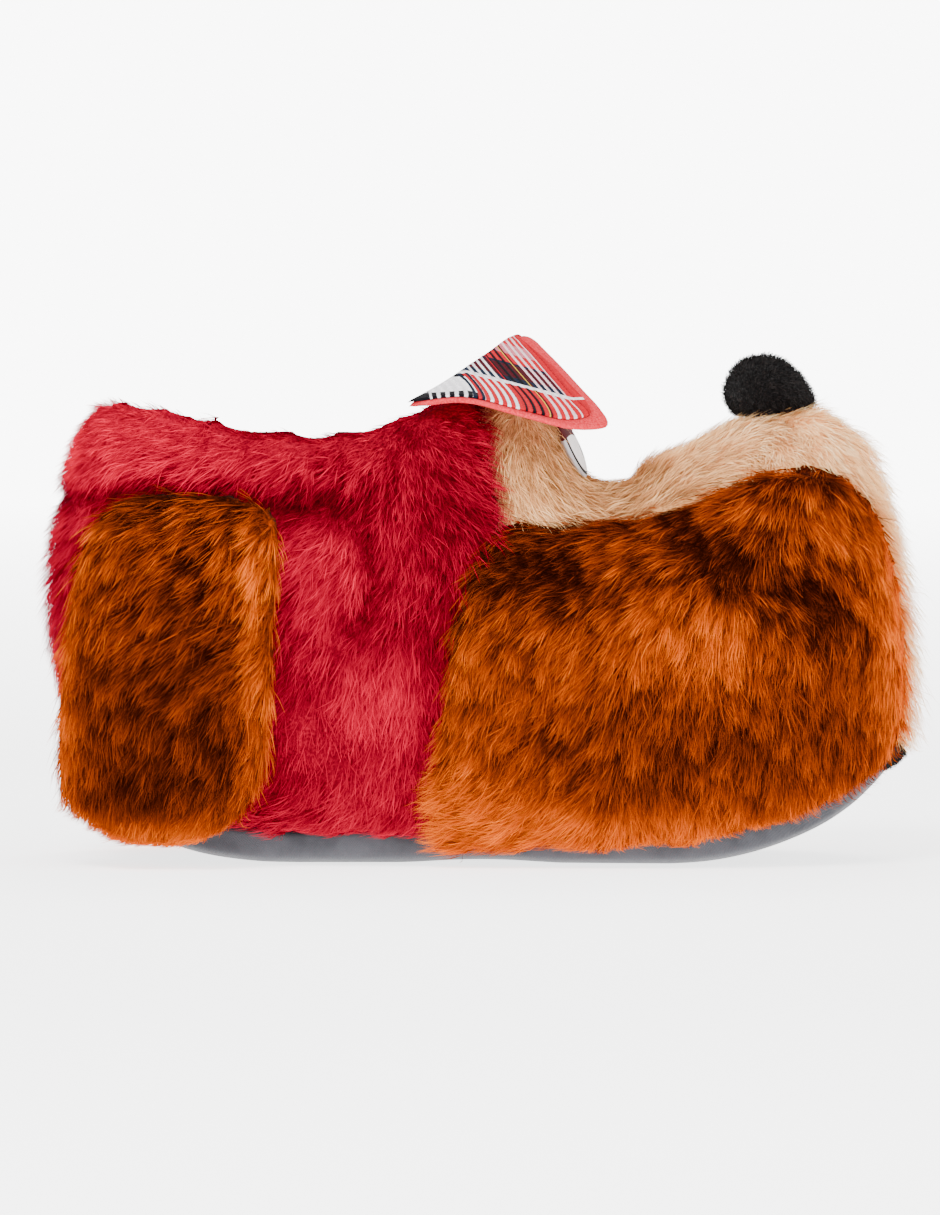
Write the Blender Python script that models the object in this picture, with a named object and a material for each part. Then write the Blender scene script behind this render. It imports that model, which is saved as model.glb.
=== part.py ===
"""A plush dog slipper: a hollow padded upper, a boat-shaped soft sole, and the stuffed pieces of the dog.

The toe points along +X and the wearer's left is +Y. The origin is on the floor under the heel.
"""

from typing import NamedTuple

import bmesh
import bpy
import numpy as np
from mathutils import Matrix, Vector

# Driving sizes, in metres
FOOT_LENGTH = 0.273
BALL_WIDTH = 0.094
INSTEP_HEIGHT = 0.100
COLLAR_HEIGHT = 0.163
HEEL_PLUSH = 0.017
TOE_PLUSH = 0.018
SIDE_PLUSH = 0.009
HEAD_PAD = 0.003
CHEEK_PAD = 0.012
MUZZLE_HEIGHT = 0.161
HEEL_REST_SET_BACK = 0.108
SOLE_MARGIN = 0.0035
SOLE_THICKNESS = 0.015
SOLE_HEEL_TUCK = 0.020
SOLE_TOE_TUCK = 0.0060
INSOLE_THICKNESS = 0.005
CAVITY_SINK = 0.004
CUFF_RISE = 0.0035
CUFF_DEPTH = 0.033
OPENING_LENGTH = 0.114
OPENING_WIDTH = 0.071
OPENING_SET_BACK = 0.089
HAUNCH_HEIGHT = 0.133
HAUNCH_LENGTH = 0.082
HAUNCH_PAD = 0.018
HAUNCH_RISE = 0.012
NOSE_LENGTH = 0.031
NOSE_WIDTH = 0.033
NOSE_HEIGHT = 0.026
EYE_WIDTH = 0.023
EYE_HEIGHT = 0.027
EYE_SPACING = 0.030
EYE_THICKNESS = 0.009
VISOR_THICKNESS = 0.0018
VISOR_COVER_THICKNESS = 0.0010
VISOR_MARGIN = 0.0050
VISOR_BULGE = 0.0030
LIP_LENGTH = 0.050
LIP_THICKNESS = 0.012
LOCK_DEPTH = 0.0032
FRINGE_DROP = 0.0036
SEAM_GAP = 0.0003

# Worked-out sizes
LENGTH = FOOT_LENGTH + HEEL_PLUSH + TOE_PLUSH
BODY_WIDTH = BALL_WIDTH + 2 * SIDE_PLUSH
HEAD_WIDTH = BODY_WIDTH + 2 * HEAD_PAD
CHEEK_WIDTH = HEAD_WIDTH + 2 * CHEEK_PAD
HAUNCH_WIDTH = BODY_WIDTH + 2 * HAUNCH_RISE
SOLE_LENGTH = LENGTH - SOLE_HEEL_TUCK - SOLE_TOE_TUCK
SOLE_WIDTH = BALL_WIDTH + 2 * SOLE_MARGIN
HEEL_X = -HEEL_REST_SET_BACK
CUFF_LINE = COLLAR_HEIGHT - CUFF_DEPTH

# Mesh fineness
BODY_POINTS = 26
HEAD_POINTS = 24
CAVITY_POINTS = 20
PAD_POINTS = 16
LIP_POINTS = 8
FINE = 240
LOCK_PERIOD = 4


class Section(NamedTuple):
    """One cross-section of a form: shares of its length, half width and height."""

    at: float
    width: float
    girth: float
    top: float
    base: float


class SoleRow(NamedTuple):
    """One station of the sole: shares of its length and half width, then lift and thickness shares."""

    at: float
    width: float
    lift: float
    thick: float


class CheekRow(NamedTuple):
    """One station of a cheek: share of the length, outer reach, top and base."""

    at: float
    reach: float
    top: float
    base: float


class HaunchRow(NamedTuple):
    """One level of a haunch flap: height share, rear and front edge, outer reach and padding."""

    level: float
    rear: float
    front: float
    reach: float
    pad: float


class CollarRow(NamedTuple):
    """One level of the foot opening: height over the rim, how much it follows the rim's dips, and its flare."""

    over_rim: float
    follow: float
    flare: float


class VisorRow(NamedTuple):
    """One rib of the visor: its ends as shares of length, half width and collar height, and its bare margin."""

    rear_x: float
    rear_y: float
    rear_z: float
    front_x: float
    front_y: float
    front_z: float
    margin: float


BODY = (
    Section(0.003, 0.02, 0.580, 0.600, 0.560),
    Section(0.010, 0.27, 0.550, 0.750, 0.390),
    Section(0.026, 0.46, 0.500, 0.865, 0.250),
    Section(0.049, 0.62, 0.460, 0.945, 0.160),
    Section(0.078, 0.74, 0.430, 0.985, 0.105),
    Section(0.130, 0.86, 0.420, 0.995, 0.068),
    Section(0.195, 0.93, 0.400, 0.985, 0.055),
    Section(0.276, 0.965, 0.400, 0.968, 0.042),
    Section(0.341, 0.975, 0.400, 0.962, 0.040),
    Section(0.406, 0.985, 0.400, 0.985, 0.040),
    Section(0.448, 0.995, 0.400, 1.020, 0.040),
    Section(0.484, 0.990, 0.400, 1.045, 0.040),
    Section(0.506, 0.955, 0.400, 1.030, 0.040),
    Section(0.522, 0.900, 0.400, 0.900, 0.040),
    Section(0.545, 0.870, 0.400, 0.720, 0.040),
    Section(0.580, 0.880, 0.340, 0.620, 0.040),
    Section(0.630, 0.925, 0.290, 0.545, 0.040),
    Section(0.695, 0.955, 0.260, 0.485, 0.042),
    Section(0.763, 0.950, 0.230, 0.440, 0.065),
    Section(0.838, 0.870, 0.230, 0.398, 0.105),
    Section(0.893, 0.715, 0.235, 0.358, 0.130),
    Section(0.929, 0.520, 0.235, 0.325, 0.165),
    Section(0.950, 0.300, 0.235, 0.295, 0.188),
    Section(0.961, 0.020, 0.235, 0.245, 0.220),
)

CAVITY = (
    Section(0.000, 0.14, 0.55, 0.66, 0.0),
    Section(0.011, 0.38, 0.50, 0.95, 0.0),
    Section(0.033, 0.53, 0.45, 1.08, 0.0),
    Section(0.080, 0.67, 0.42, 1.16, 0.0),
    Section(0.157, 0.72, 0.40, 1.22, 0.0),
    Section(0.304, 0.75, 0.40, 1.22, 0.0),
    Section(0.420, 0.80, 0.40, 1.14, 0.0),
    Section(0.487, 0.84, 0.40, 1.02, 0.0),
    Section(0.545, 0.885, 0.38, 0.93, 0.0),
    Section(0.634, 0.950, 0.34, 0.81, 0.0),
    Section(0.707, 1.000, 0.32, 0.72, 0.0),
    Section(0.800, 0.985, 0.32, 0.63, 0.0),
    Section(0.883, 0.880, 0.33, 0.56, 0.0),
    Section(0.934, 0.715, 0.34, 0.51, 0.0),
    Section(0.970, 0.500, 0.35, 0.46, 0.0),
    Section(0.992, 0.250, 0.36, 0.42, 0.0),
    Section(1.000, 0.020, 0.37, 0.385, 0.0),
)

HEAD = (
    Section(0.512, 0.66, 0.480, 1.050, 0.120),
    Section(0.523, 0.80, 0.450, 1.112, 0.040),
    Section(0.540, 0.865, 0.450, 1.135, 0.040),
    Section(0.559, 0.885, 0.450, 1.118, 0.040),
    Section(0.582, 0.895, 0.450, 1.010, 0.040),
    Section(0.601, 0.900, 0.450, 0.930, 0.040),
    Section(0.617, 0.905, 0.450, 0.868, 0.040),
    Section(0.638, 0.915, 0.450, 0.832, 0.040),
    Section(0.669, 0.935, 0.450, 0.836, 0.040),
    Section(0.698, 0.965, 0.450, 0.876, 0.040),
    Section(0.740, 0.990, 0.455, 0.920, 0.042),
    Section(0.792, 1.000, 0.460, 0.963, 0.055),
    Section(0.844, 0.975, 0.460, 0.990, 0.090),
    Section(0.886, 0.905, 0.455, 0.997, 0.125),
    Section(0.916, 0.815, 0.450, 0.975, 0.160),
    Section(0.939, 0.710, 0.445, 0.920, 0.195),
    Section(0.961, 0.560, 0.435, 0.815, 0.225),
    Section(0.981, 0.370, 0.420, 0.660, 0.252),
    Section(0.993, 0.180, 0.400, 0.520, 0.285),
    Section(0.998, 0.020, 0.395, 0.405, 0.385),
)

SOLE = (
    SoleRow(0.000, 0.02, 1.870, 0.13),
    SoleRow(0.012, 0.27, 1.400, 0.40),
    SoleRow(0.035, 0.47, 0.920, 0.66),
    SoleRow(0.075, 0.64, 0.530, 0.86),
    SoleRow(0.130, 0.75, 0.210, 0.98),
    SoleRow(0.190, 0.80, 0.045, 1.00),
    SoleRow(0.250, 0.81, 0.000, 1.00),
    SoleRow(0.375, 0.81, 0.000, 1.00),
    SoleRow(0.450, 0.82, 0.065, 0.95),
    SoleRow(0.510, 0.84, 0.065, 0.95),
    SoleRow(0.580, 0.90, 0.000, 1.00),
    SoleRow(0.640, 0.96, 0.000, 1.00),
    SoleRow(0.715, 1.00, 0.000, 1.00),
    SoleRow(0.775, 0.99, 0.160, 0.92),
    SoleRow(0.835, 0.94, 0.460, 0.80),
    SoleRow(0.895, 0.82, 0.950, 0.66),
    SoleRow(0.940, 0.66, 1.480, 0.55),
    SoleRow(0.975, 0.43, 2.080, 0.40),
    SoleRow(0.992, 0.24, 2.420, 0.26),
    SoleRow(1.000, 0.02, 2.620, 0.13),
)

# The sole's half cross-section, from the middle of its floor face round the side to the middle of its top
SOLE_ACROSS = (0.0, 0.36, 0.64, 0.82, 0.94, 1.00, 0.985, 0.90, 0.45, 0.0)
SOLE_UP = (0.0, 0.0, 0.0, 0.09, 0.30, 0.66, 0.93, 1.0, 1.0, 1.0)

CHEEK = (
    CheekRow(0.449, 0.790, 0.27, 0.130),
    CheekRow(0.458, 0.835, 0.43, 0.050),
    CheekRow(0.471, 0.875, 0.60, 0.034),
    CheekRow(0.487, 0.905, 0.71, 0.031),
    CheekRow(0.510, 0.925, 0.760, 0.034),
    CheekRow(0.545, 0.940, 0.776, 0.037),
    CheekRow(0.594, 0.960, 0.786, 0.040),
    CheekRow(0.643, 0.975, 0.806, 0.040),
    CheekRow(0.688, 0.988, 0.832, 0.040),
    CheekRow(0.740, 0.990, 0.858, 0.048),
    CheekRow(0.789, 0.975, 0.888, 0.068),
    CheekRow(0.838, 0.935, 0.902, 0.095),
    CheekRow(0.877, 0.872, 0.900, 0.118),
    CheekRow(0.916, 0.775, 0.872, 0.150),
    CheekRow(0.945, 0.665, 0.820, 0.185),
    CheekRow(0.968, 0.550, 0.740, 0.222),
    CheekRow(0.983, 0.450, 0.635, 0.262),
    CheekRow(0.991, 0.380, 0.530, 0.320),
    CheekRow(0.994, 0.330, 0.440, 0.385),
)
CHEEK_CORE = 0.52

HAUNCH = (
    HaunchRow(1.000, 0.38, 0.74, 0.790, 0.40),
    HaunchRow(0.974, 0.25, 0.935, 0.830, 0.62),
    HaunchRow(0.920, 0.165, 0.985, 0.885, 0.82),
    HaunchRow(0.810, 0.100, 0.985, 0.935, 0.95),
    HaunchRow(0.655, 0.045, 0.965, 0.975, 1.00),
    HaunchRow(0.445, 0.012, 0.945, 0.990, 1.05),
    HaunchRow(0.285, 0.000, 0.925, 0.985, 1.05),
    HaunchRow(0.200, 0.008, 0.895, 0.970, 1.00),
    HaunchRow(0.140, 0.050, 0.840, 0.945, 0.88),
    HaunchRow(0.092, 0.185, 0.760, 0.910, 0.72),
    HaunchRow(0.060, 0.360, 0.640, 0.865, 0.45),
)
HAUNCH_START = 0.016
HAUNCH_BOW = 0.32

COLLAR = (
    CollarRow(-0.040, 0.0, 0.0),
    CollarRow(-0.022, 0.3, 0.0005),
    CollarRow(-0.012, 0.8, 0.0020),
    CollarRow(-0.006, 1.0, 0.0045),
    CollarRow(0.000, 1.0, 0.0085),
    CollarRow(0.012, 0.8, 0.0150),
    CollarRow(0.036, 0.0, 0.0200),
)
OPENING_FLOOR = 0.070

VISOR = (
    VisorRow(0.422, -0.714, 0.985, 0.435, -0.804, 0.991, 0.35),
    VisorRow(0.448, -0.607, 1.011, 0.489, -0.938, 0.998, 0.40),
    VisorRow(0.471, -0.514, 1.039, 0.552, -1.000, 0.967, 0.50),
    VisorRow(0.490, -0.420, 1.065, 0.606, -0.982, 0.941, 0.75),
    VisorRow(0.508, -0.318, 1.087, 0.644, -0.866, 0.944, 1.50),
    VisorRow(0.519, -0.236, 1.102, 0.639, -0.723, 0.971, 2.70),
    VisorRow(0.527, -0.170, 1.112, 0.621, -0.554, 1.008, 2.90),
    VisorRow(0.532, -0.107, 1.117, 0.598, -0.384, 1.054, 2.60),
    VisorRow(0.537, -0.029, 1.119, 0.575, -0.196, 1.098, 1.70),
    VisorRow(0.541, 0.080, 1.113, 0.565, 0.009, 1.115, 1.00),
    VisorRow(0.543, 0.241, 1.087, 0.567, 0.232, 1.094, 0.70),
    VisorRow(0.543, 0.438, 1.042, 0.571, 0.464, 1.049, 0.60),
    VisorRow(0.541, 0.643, 0.972, 0.568, 0.679, 0.978, 0.50),
)
VISOR_ACROSS = 5
VISOR_CLEAR_HEIGHT = 0.022
VISOR_CLEAR_SIDE = 0.0030

NOSE_AT = 0.833
NOSE_SINK = 0.42
NOSE_TILT = 0.30
EYE_AT = 0.602
EYE_LEVEL = 0.895
EYE_LEAN = 0.37
EYE_TURN = 0.30
LIP_AT = 0.977
LIP_LEVEL = 0.240

CROWN = 4.5
KEEL = 6.0
CAVITY_CROWN = 2.6
CAVITY_KEEL = 9.0
HEAD_CROWN = 2.3
HEAD_KEEL = 3.2
CHEEK_SQUARE = 3.2
HAUNCH_SQUARE = 3.4

RED_PLUSH = (0.62, 0.015, 0.05)
RUST_PLUSH = (0.42, 0.10, 0.012)
CREAM_PLUSH = (0.72, 0.52, 0.34)
BLACK_PLUSH = (0.012, 0.010, 0.011)
GREY_CLOTH = (0.13, 0.13, 0.14)
LINING_CLOTH = (0.70, 0.45, 0.42)
EYE_WHITE = (0.82, 0.80, 0.80)
VISOR_RED = (0.68, 0.06, 0.08)
VISOR_PLAID = (0.42, 0.20, 0.24)


def clear_scene():
    """Removes every object of the scene that is open."""
    for thing in list(bpy.data.objects):
        bpy.data.objects.remove(thing, do_unlink=True)


def collection(name):
    """Makes a collection in the scene."""
    made = bpy.data.collections.new(name)
    bpy.context.scene.collection.children.link(made)
    return made


def material(name, colour, roughness):
    """A plain cloth, plush or felt."""
    made = bpy.data.materials.new(name)
    made.use_nodes = True
    shader = made.node_tree.nodes["Principled BSDF"]
    shader.inputs["Base Color"].default_value = (*colour, 1.0)
    shader.inputs["Roughness"].default_value = roughness
    shader.inputs["Metallic"].default_value = 0.0
    return made


def refine(rows, steps=1, until=9.0):
    """A smooth curve through a table's rows: steps rows for each one whose first share is below until."""
    table = np.array(rows, float)
    padded = np.vstack([2 * table[0] - table[1], table, 2 * table[-1] - table[-2]])
    made = []
    for i in range(1, len(padded) - 2):
        before, start, end, after = padded[i - 1 : i + 3]
        here = steps if start[0] < until else 1
        for t in np.arange(here) / here:
            made.append(
                0.5
                * (
                    2 * start
                    + (end - before) * t
                    + (2 * before - 5 * start + 4 * end - after) * t**2
                    + (3 * start - before - 3 * end + after) * t**3
                )
            )
    made.append(table[-1])
    return np.array(made)


def even(points, count):
    """The same number of points at equal distances along a path."""
    steps = np.linalg.norm(np.diff(points, axis=0), axis=1)
    along = np.concatenate([[0.0], np.cumsum(steps)])
    wanted = np.linspace(0.0, along[-1], count)
    return np.column_stack([np.interp(wanted, along, points[:, k]) for k in range(points.shape[1])])


def half_section(width, girth, top, base, crown, keel, count):
    """Half of a rounded cross-section, from its top round the +Y side to its base, as (y, z)."""
    angle = np.linspace(0.0, np.pi / 2, FINE)
    sine, cosine = np.sin(angle), np.cos(angle)
    upper = np.column_stack([width * sine ** (2 / crown), girth + (top - girth) * cosine ** (2 / crown)])
    lower = np.column_stack([width * cosine ** (2 / keel), girth - (girth - base) * sine ** (2 / keel)])
    return even(np.vstack([upper, lower[1:]]), count // 2 + 1)


def whole_ring(x, half):
    """A closed ring in the plane across the slipper, from half of it on the +Y side."""
    other = half[-2:0:-1] * (-1.0, 1.0)
    ring = np.vstack([half, other])
    return np.column_stack([np.full(len(ring), x), ring])


def lock_height(row, step):
    """How far a lock of pile stands out: it rises from its root to its tip, and every other row is staggered."""
    phase = (step + (row % 2) * LOCK_PERIOD // 2) % LOCK_PERIOD
    return phase / (LOCK_PERIOD - 1)


def push_out(half, amount):
    """Moves each point of a half section away from the section's middle by its own amount."""
    middle = np.array([0.0, (half[:, 1].max() + half[:, 1].min()) / 2])
    away = half - middle
    away /= np.maximum(np.linalg.norm(away, axis=1, keepdims=True), 1e-9)
    moved = half + away * np.asarray(amount)[:, None]
    moved[[0, -1], 0] = 0.0
    return moved


def link(mesh, name, group, finish=None):
    """Adds a mesh to the scene as a named object."""
    thing = bpy.data.objects.new(name, mesh)
    group.objects.link(thing)
    if finish:
        mesh.materials.append(finish)
    return thing


def loft(name, rings, group, finish=None):
    """Joins closed rings of equal count into one closed skin of triangles, with a fan over each end."""
    shell = bmesh.new()
    rows = [[shell.verts.new(point) for point in ring] for ring in rings]
    count = len(rows[0])
    for near, far in zip(rows, rows[1:]):
        for i in range(count):
            j = (i + 1) % count
            shell.faces.new((near[i], near[j], far[j], far[i]))
    for row, ring in ((rows[0], rings[0]), (rows[-1], rings[-1])):
        hub = shell.verts.new(np.mean(ring, axis=0))
        for i in range(count):
            shell.faces.new((row[i], row[(i + 1) % count], hub))
    bmesh.ops.recalc_face_normals(shell, faces=shell.faces)
    bmesh.ops.triangulate(shell, faces=shell.faces)
    mesh = bpy.data.meshes.new(name)
    shell.to_mesh(mesh)
    shell.free()
    return link(mesh, name, group, finish)


def cut(thing, cutter, operation="DIFFERENCE"):
    """Takes the cutter from a piece, and applies the cut at once."""
    step = thing.modifiers.new("cut", "BOOLEAN")
    step.operation = operation
    step.solver = "EXACT"
    step.object = cutter
    graph = bpy.context.evaluated_depsgraph_get()
    mesh = bpy.data.meshes.new_from_object(thing.evaluated_get(graph))
    thing.modifiers.clear()
    thing.data = mesh


def tidy(thing):
    """Splits the faces that a cut left into triangles and shades the piece smooth."""
    shell = bmesh.new()
    shell.from_mesh(thing.data)
    bmesh.ops.triangulate(shell, faces=shell.faces)
    shell.to_mesh(thing.data)
    shell.free()
    thing.data.shade_smooth()
    thing.data.set_sharp_from_angle(angle=0.9)


def as_cutter(thing):
    """Hides a helper from the render and shows it as wire."""
    thing.hide_render = True
    thing.display_type = "WIRE"
    return thing


def mirrored(thing, name, group):
    """A left piece's twin on the right side, as a mesh of its own."""
    shell = bmesh.new()
    shell.from_mesh(thing.data)
    for corner in shell.verts:
        corner.co.y = -corner.co.y
    bmesh.ops.reverse_faces(shell, faces=shell.faces)
    mesh = bpy.data.meshes.new(name)
    shell.to_mesh(mesh)
    shell.free()
    for finish in thing.data.materials:
        mesh.materials.append(finish)
    mesh.shade_smooth()
    mesh.set_sharp_from_angle(angle=0.9)
    return link(mesh, name, group)


def sole_levels(x):
    """Height of the sole's floor face and of its top at a place along the slipper."""
    rows = refine(SOLE, 6)
    start = HEEL_X + SOLE_HEEL_TUCK
    along = start + rows[:, 0] * SOLE_LENGTH
    lift = np.interp(x, along, rows[:, 2]) * SOLE_THICKNESS
    return lift, lift + np.interp(x, along, rows[:, 3]) * SOLE_THICKNESS


def sole_rings(grow=0.0):
    """Rings of the boat-shaped sole, from its heel to its toe."""
    rings = []
    start = HEEL_X + SOLE_HEEL_TUCK
    for at, width, lift, thick in refine(SOLE):
        x = start + at * SOLE_LENGTH + grow * np.sign(at - 0.5) * (width < 0.3)
        low = max(lift, 0.0) * SOLE_THICKNESS - grow
        high = (max(lift, 0.0) + thick) * SOLE_THICKNESS + grow
        across = np.array(SOLE_ACROSS) * (width * SOLE_WIDTH / 2 + grow)
        up = low + np.array(SOLE_UP) * (high - low)
        rings.append(whole_ring(x, np.column_stack([across, up])))
    return rings


def body_half(row, index, grow):
    """One half section of the plush body, with its collar cuff and its locks of pile."""
    at, width, girth, top, base = row
    half = half_section(
        width * BODY_WIDTH / 2,
        girth * COLLAR_HEIGHT,
        top * COLLAR_HEIGHT,
        base * COLLAR_HEIGHT,
        CROWN,
        KEEL,
        BODY_POINTS,
    )
    height = half[:, 1]
    cuff_fade = np.clip((0.46 - at) / 0.10, 0.0, 1.0)
    cuff = np.clip((height - CUFF_LINE) / 0.006, 0.0, 1.0) * cuff_fade * CUFF_RISE
    red = np.clip((0.50 - at) / 0.03, 0.0, 1.0) * np.clip(width / 0.5, 0.0, 1.0)
    locks = np.array([lock_height(index, step) for step in range(len(half))]) * LOCK_DEPTH * red
    return push_out(half, cuff + locks + grow)


def body_rings(grow=0.0):
    """Rings of the plush body's outside, from the heel to the toe box."""
    rows = refine(BODY, 2, 0.5)
    rings = []
    for index, row in enumerate(rows):
        x = HEEL_X + row[0] * LENGTH + grow * np.sign(row[0] - 0.5) * (row[1] < 0.6)
        rings.append(whole_ring(x, body_half(row, index, grow)))
    return rings


def cavity_rings(grow=0.0):
    """Rings of the space for the foot, in the shape of the last."""
    rings = []
    start = HEEL_X + HEEL_PLUSH
    for at, width, girth, top, _ in refine(CAVITY):
        x = start + at * FOOT_LENGTH + grow * np.sign(at - 0.5) * (width < 0.6)
        base = sole_levels(x)[1] - CAVITY_SINK
        half = half_section(
            width * BALL_WIDTH / 2,
            max(girth * INSTEP_HEIGHT, base + 0.004),
            max(top * INSTEP_HEIGHT, base + 0.006),
            base,
            CAVITY_CROWN,
            CAVITY_KEEL,
            CAVITY_POINTS,
        )
        rings.append(whole_ring(x, push_out(half, np.full(len(half), grow))))
    return rings


def rim_height(x):
    """Height of the collar's rim along the slipper."""
    rows = refine(BODY, 4)
    return np.interp(x, HEEL_X + rows[:, 0] * LENGTH, rows[:, 3]) * COLLAR_HEIGHT


def opening_rings():
    """Rings of the foot opening, from inside the foot's space up past the rim, where it flares."""
    middle = HEEL_X + OPENING_SET_BACK
    turn = np.linspace(0.0, 2 * np.pi, BODY_POINTS, endpoint=False)
    round_x, round_y = np.cos(turn), np.sin(turn)
    rim = rim_height(middle + OPENING_LENGTH / 2 * round_x)
    rings = [np.column_stack([middle + OPENING_LENGTH / 2 * round_x, OPENING_WIDTH / 2 * round_y, OPENING_FLOOR + 0 * turn])]
    for over_rim, follow, flare in COLLAR:
        x = middle + (OPENING_LENGTH / 2 + flare) * round_x
        y = (OPENING_WIDTH / 2 + flare) * round_y
        z = COLLAR_HEIGHT + (rim - COLLAR_HEIGHT) * follow + over_rim
        rings.append(np.column_stack([x, y, z]))
    return rings


def head_half(row, index, grow):
    """One half section of the stuffed head, with its locks of pile."""
    _, width, girth, top, base = row
    half = half_section(
        width * HEAD_WIDTH / 2,
        girth * MUZZLE_HEIGHT,
        top * MUZZLE_HEIGHT,
        base * MUZZLE_HEIGHT,
        HEAD_CROWN,
        HEAD_KEEL,
        HEAD_POINTS,
    )
    soft = np.clip(width / 0.5, 0.0, 1.0) * 0.7
    locks = np.array([lock_height(index, step) for step in range(len(half))]) * LOCK_DEPTH * soft
    return push_out(half, locks + grow)


def head_rings(grow=0.0):
    """Rings of the head, from under the visor over the muzzle to the chin."""
    rings = []
    for index, row in enumerate(refine(HEAD)):
        x = HEEL_X + row[0] * LENGTH + grow * np.sign(row[0] - 0.7) * (row[1] < 0.7)
        rings.append(whole_ring(x, head_half(row, index, grow)))
    return rings


def cheek_rings():
    """Rings of the left cheek: a padded D whose inner side lies inside the head and the body."""
    rings = []
    turn = np.linspace(0.0, 2 * np.pi, PAD_POINTS * 8, endpoint=False)
    for index, (at, reach, top, base) in enumerate(refine(CHEEK)):
        outer = reach * CHEEK_WIDTH / 2
        core = outer * CHEEK_CORE
        high = top * MUZZLE_HEIGHT
        low = base * MUZZLE_HEIGHT
        middle = (high + low) / 2
        sine, cosine = np.sin(turn), np.cos(turn)
        y = core + (outer - core) * np.sign(sine) * np.abs(sine) ** (2 / CHEEK_SQUARE)
        z = middle + (high - middle) * np.sign(cosine) * np.abs(cosine) ** (2 / CHEEK_SQUARE)
        path = np.column_stack([y, z])
        ring = even(np.vstack([path, path[:1]]), PAD_POINTS + 1)[:-1]
        away = ring - (core, middle)
        away /= np.linalg.norm(away, axis=1, keepdims=True)
        locks = np.array([lock_height(index, step) for step in range(PAD_POINTS)])
        ring += away * locks[:, None] * LOCK_DEPTH * (ring[:, :1] > core)
        hem = (ring[:, 1] < low + 0.012) * (index % 2) * FRINGE_DROP
        ring[:, 1] = np.maximum(ring[:, 1] - hem, low - FRINGE_DROP)
        rings.append(np.column_stack([np.full(len(ring), HEEL_X + at * LENGTH), ring]))
    return rings


def haunch_rings():
    """Level rings of the left haunch flap, from its seam under the cuff down to its fringe."""
    rings = []
    start = HEEL_X + HAUNCH_START * LENGTH
    turn = np.linspace(0.0, 2 * np.pi, FINE, endpoint=False)
    for index, (level, rear, front, reach, pad) in enumerate(refine(HAUNCH)):
        rear_x = start + rear * HAUNCH_LENGTH
        front_x = start + front * HAUNCH_LENGTH
        middle = (rear_x + front_x) / 2
        half_length = (front_x - rear_x) / 2
        sine, cosine = np.sin(turn), np.cos(turn)
        x = middle - half_length * np.sign(cosine) * np.abs(cosine) ** (2 / HAUNCH_SQUARE)
        spread = np.sign(sine) * np.abs(sine) ** (2 / HAUNCH_SQUARE)
        bow = 1.0 - HAUNCH_BOW * np.clip(1.0 - (x - start) / (0.6 * HAUNCH_LENGTH), 0.0, 1.2) ** 2
        outer = reach * HAUNCH_WIDTH / 2 * bow
        y = outer - pad * HAUNCH_PAD * (0.5 - spread / 2)
        path = np.column_stack([x, y])
        ring = even(np.vstack([path, path[:1]]), PAD_POINTS + 1)[:-1]
        z = np.full(len(ring), level * HAUNCH_HEIGHT)
        step = np.arange(len(ring))
        locks = np.array([lock_height(int(s) // 2, index) for s in step])
        outside = np.clip((ring[:, 1] - ring[:, 1].mean()) / (0.3 * HAUNCH_PAD), 0.0, 1.0)
        ring[:, 1] += locks * LOCK_DEPTH * outside * np.clip((1.0 - level) / 0.03, 0.0, 1.0)
        z -= (level < 0.15) * (step % 2) * FRINGE_DROP * 0.6
        rings.append(np.column_stack([ring, z]))
    return rings


def visor_grid():
    """The visor's under surface: ribs from its rear edge to its front edge, with a point where the plaid ends."""
    grid = []
    for index, row in enumerate(VISOR):
        rear = np.array([HEEL_X + row.rear_x * LENGTH, row.rear_y * BODY_WIDTH / 2, row.rear_z * COLLAR_HEIGHT])
        front = np.array([HEEL_X + row.front_x * LENGTH, row.front_y * BODY_WIDTH / 2, row.front_z * COLLAR_HEIGHT])
        span = np.linalg.norm(front - rear)
        plaid_end = 1.0 - min(row.margin * VISOR_MARGIN, 0.55 * span) / span
        share = np.append(np.linspace(0.0, plaid_end, VISOR_ACROSS), 1.0)[:, None]
        rise = np.sin(np.pi * share) * np.sin(np.pi * index / (len(VISOR) - 1)) * VISOR_BULGE
        grid.append(rear + (front - rear) * share + rise * np.array([0.0, -0.35, 0.94]))
    return np.array(grid)


def upward(grid):
    """The direction square to a grid's surface at each of its points, on its upper side."""
    square = np.cross(np.gradient(grid, axis=0), np.gradient(grid, axis=1))
    square /= np.linalg.norm(square, axis=2, keepdims=True)
    return square * np.sign(square[:, :, 2:].mean())


def layer(grid, low, high):
    """Rings of a sheet that lies between two heights over a grid's surface."""
    square = upward(grid)
    return [np.vstack([rib + way * low, (rib + way * high)[::-1]]) for rib, way in zip(grid, square)]


def over_visor():
    """Rings of the space the visor needs: everything straight above its under surface, and a little round it."""
    grid = visor_grid()
    middles = grid.mean(axis=1, keepdims=True)
    ends = np.array([middles[0] - middles[1], middles[-1] - middles[-2]])
    ends *= VISOR_CLEAR_SIDE / np.linalg.norm(ends, axis=2, keepdims=True)
    grid = np.concatenate([grid[:1] + ends[:1], grid, grid[-1:] + ends[1:]])
    ways = grid[:, -1:] - grid[:, :1]
    ways /= np.linalg.norm(ways, axis=2, keepdims=True)
    grid = np.concatenate([grid[:, :1] - ways * VISOR_CLEAR_SIDE, grid, grid[:, -1:] + ways * VISOR_CLEAR_SIDE], 1)
    low = grid - (0.0, 0.0, 2 * SEAM_GAP)
    high = grid + (0.0, 0.0, VISOR_CLEAR_HEIGHT)
    return [np.vstack([near, far[::-1]]) for near, far in zip(low, high)]


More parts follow.
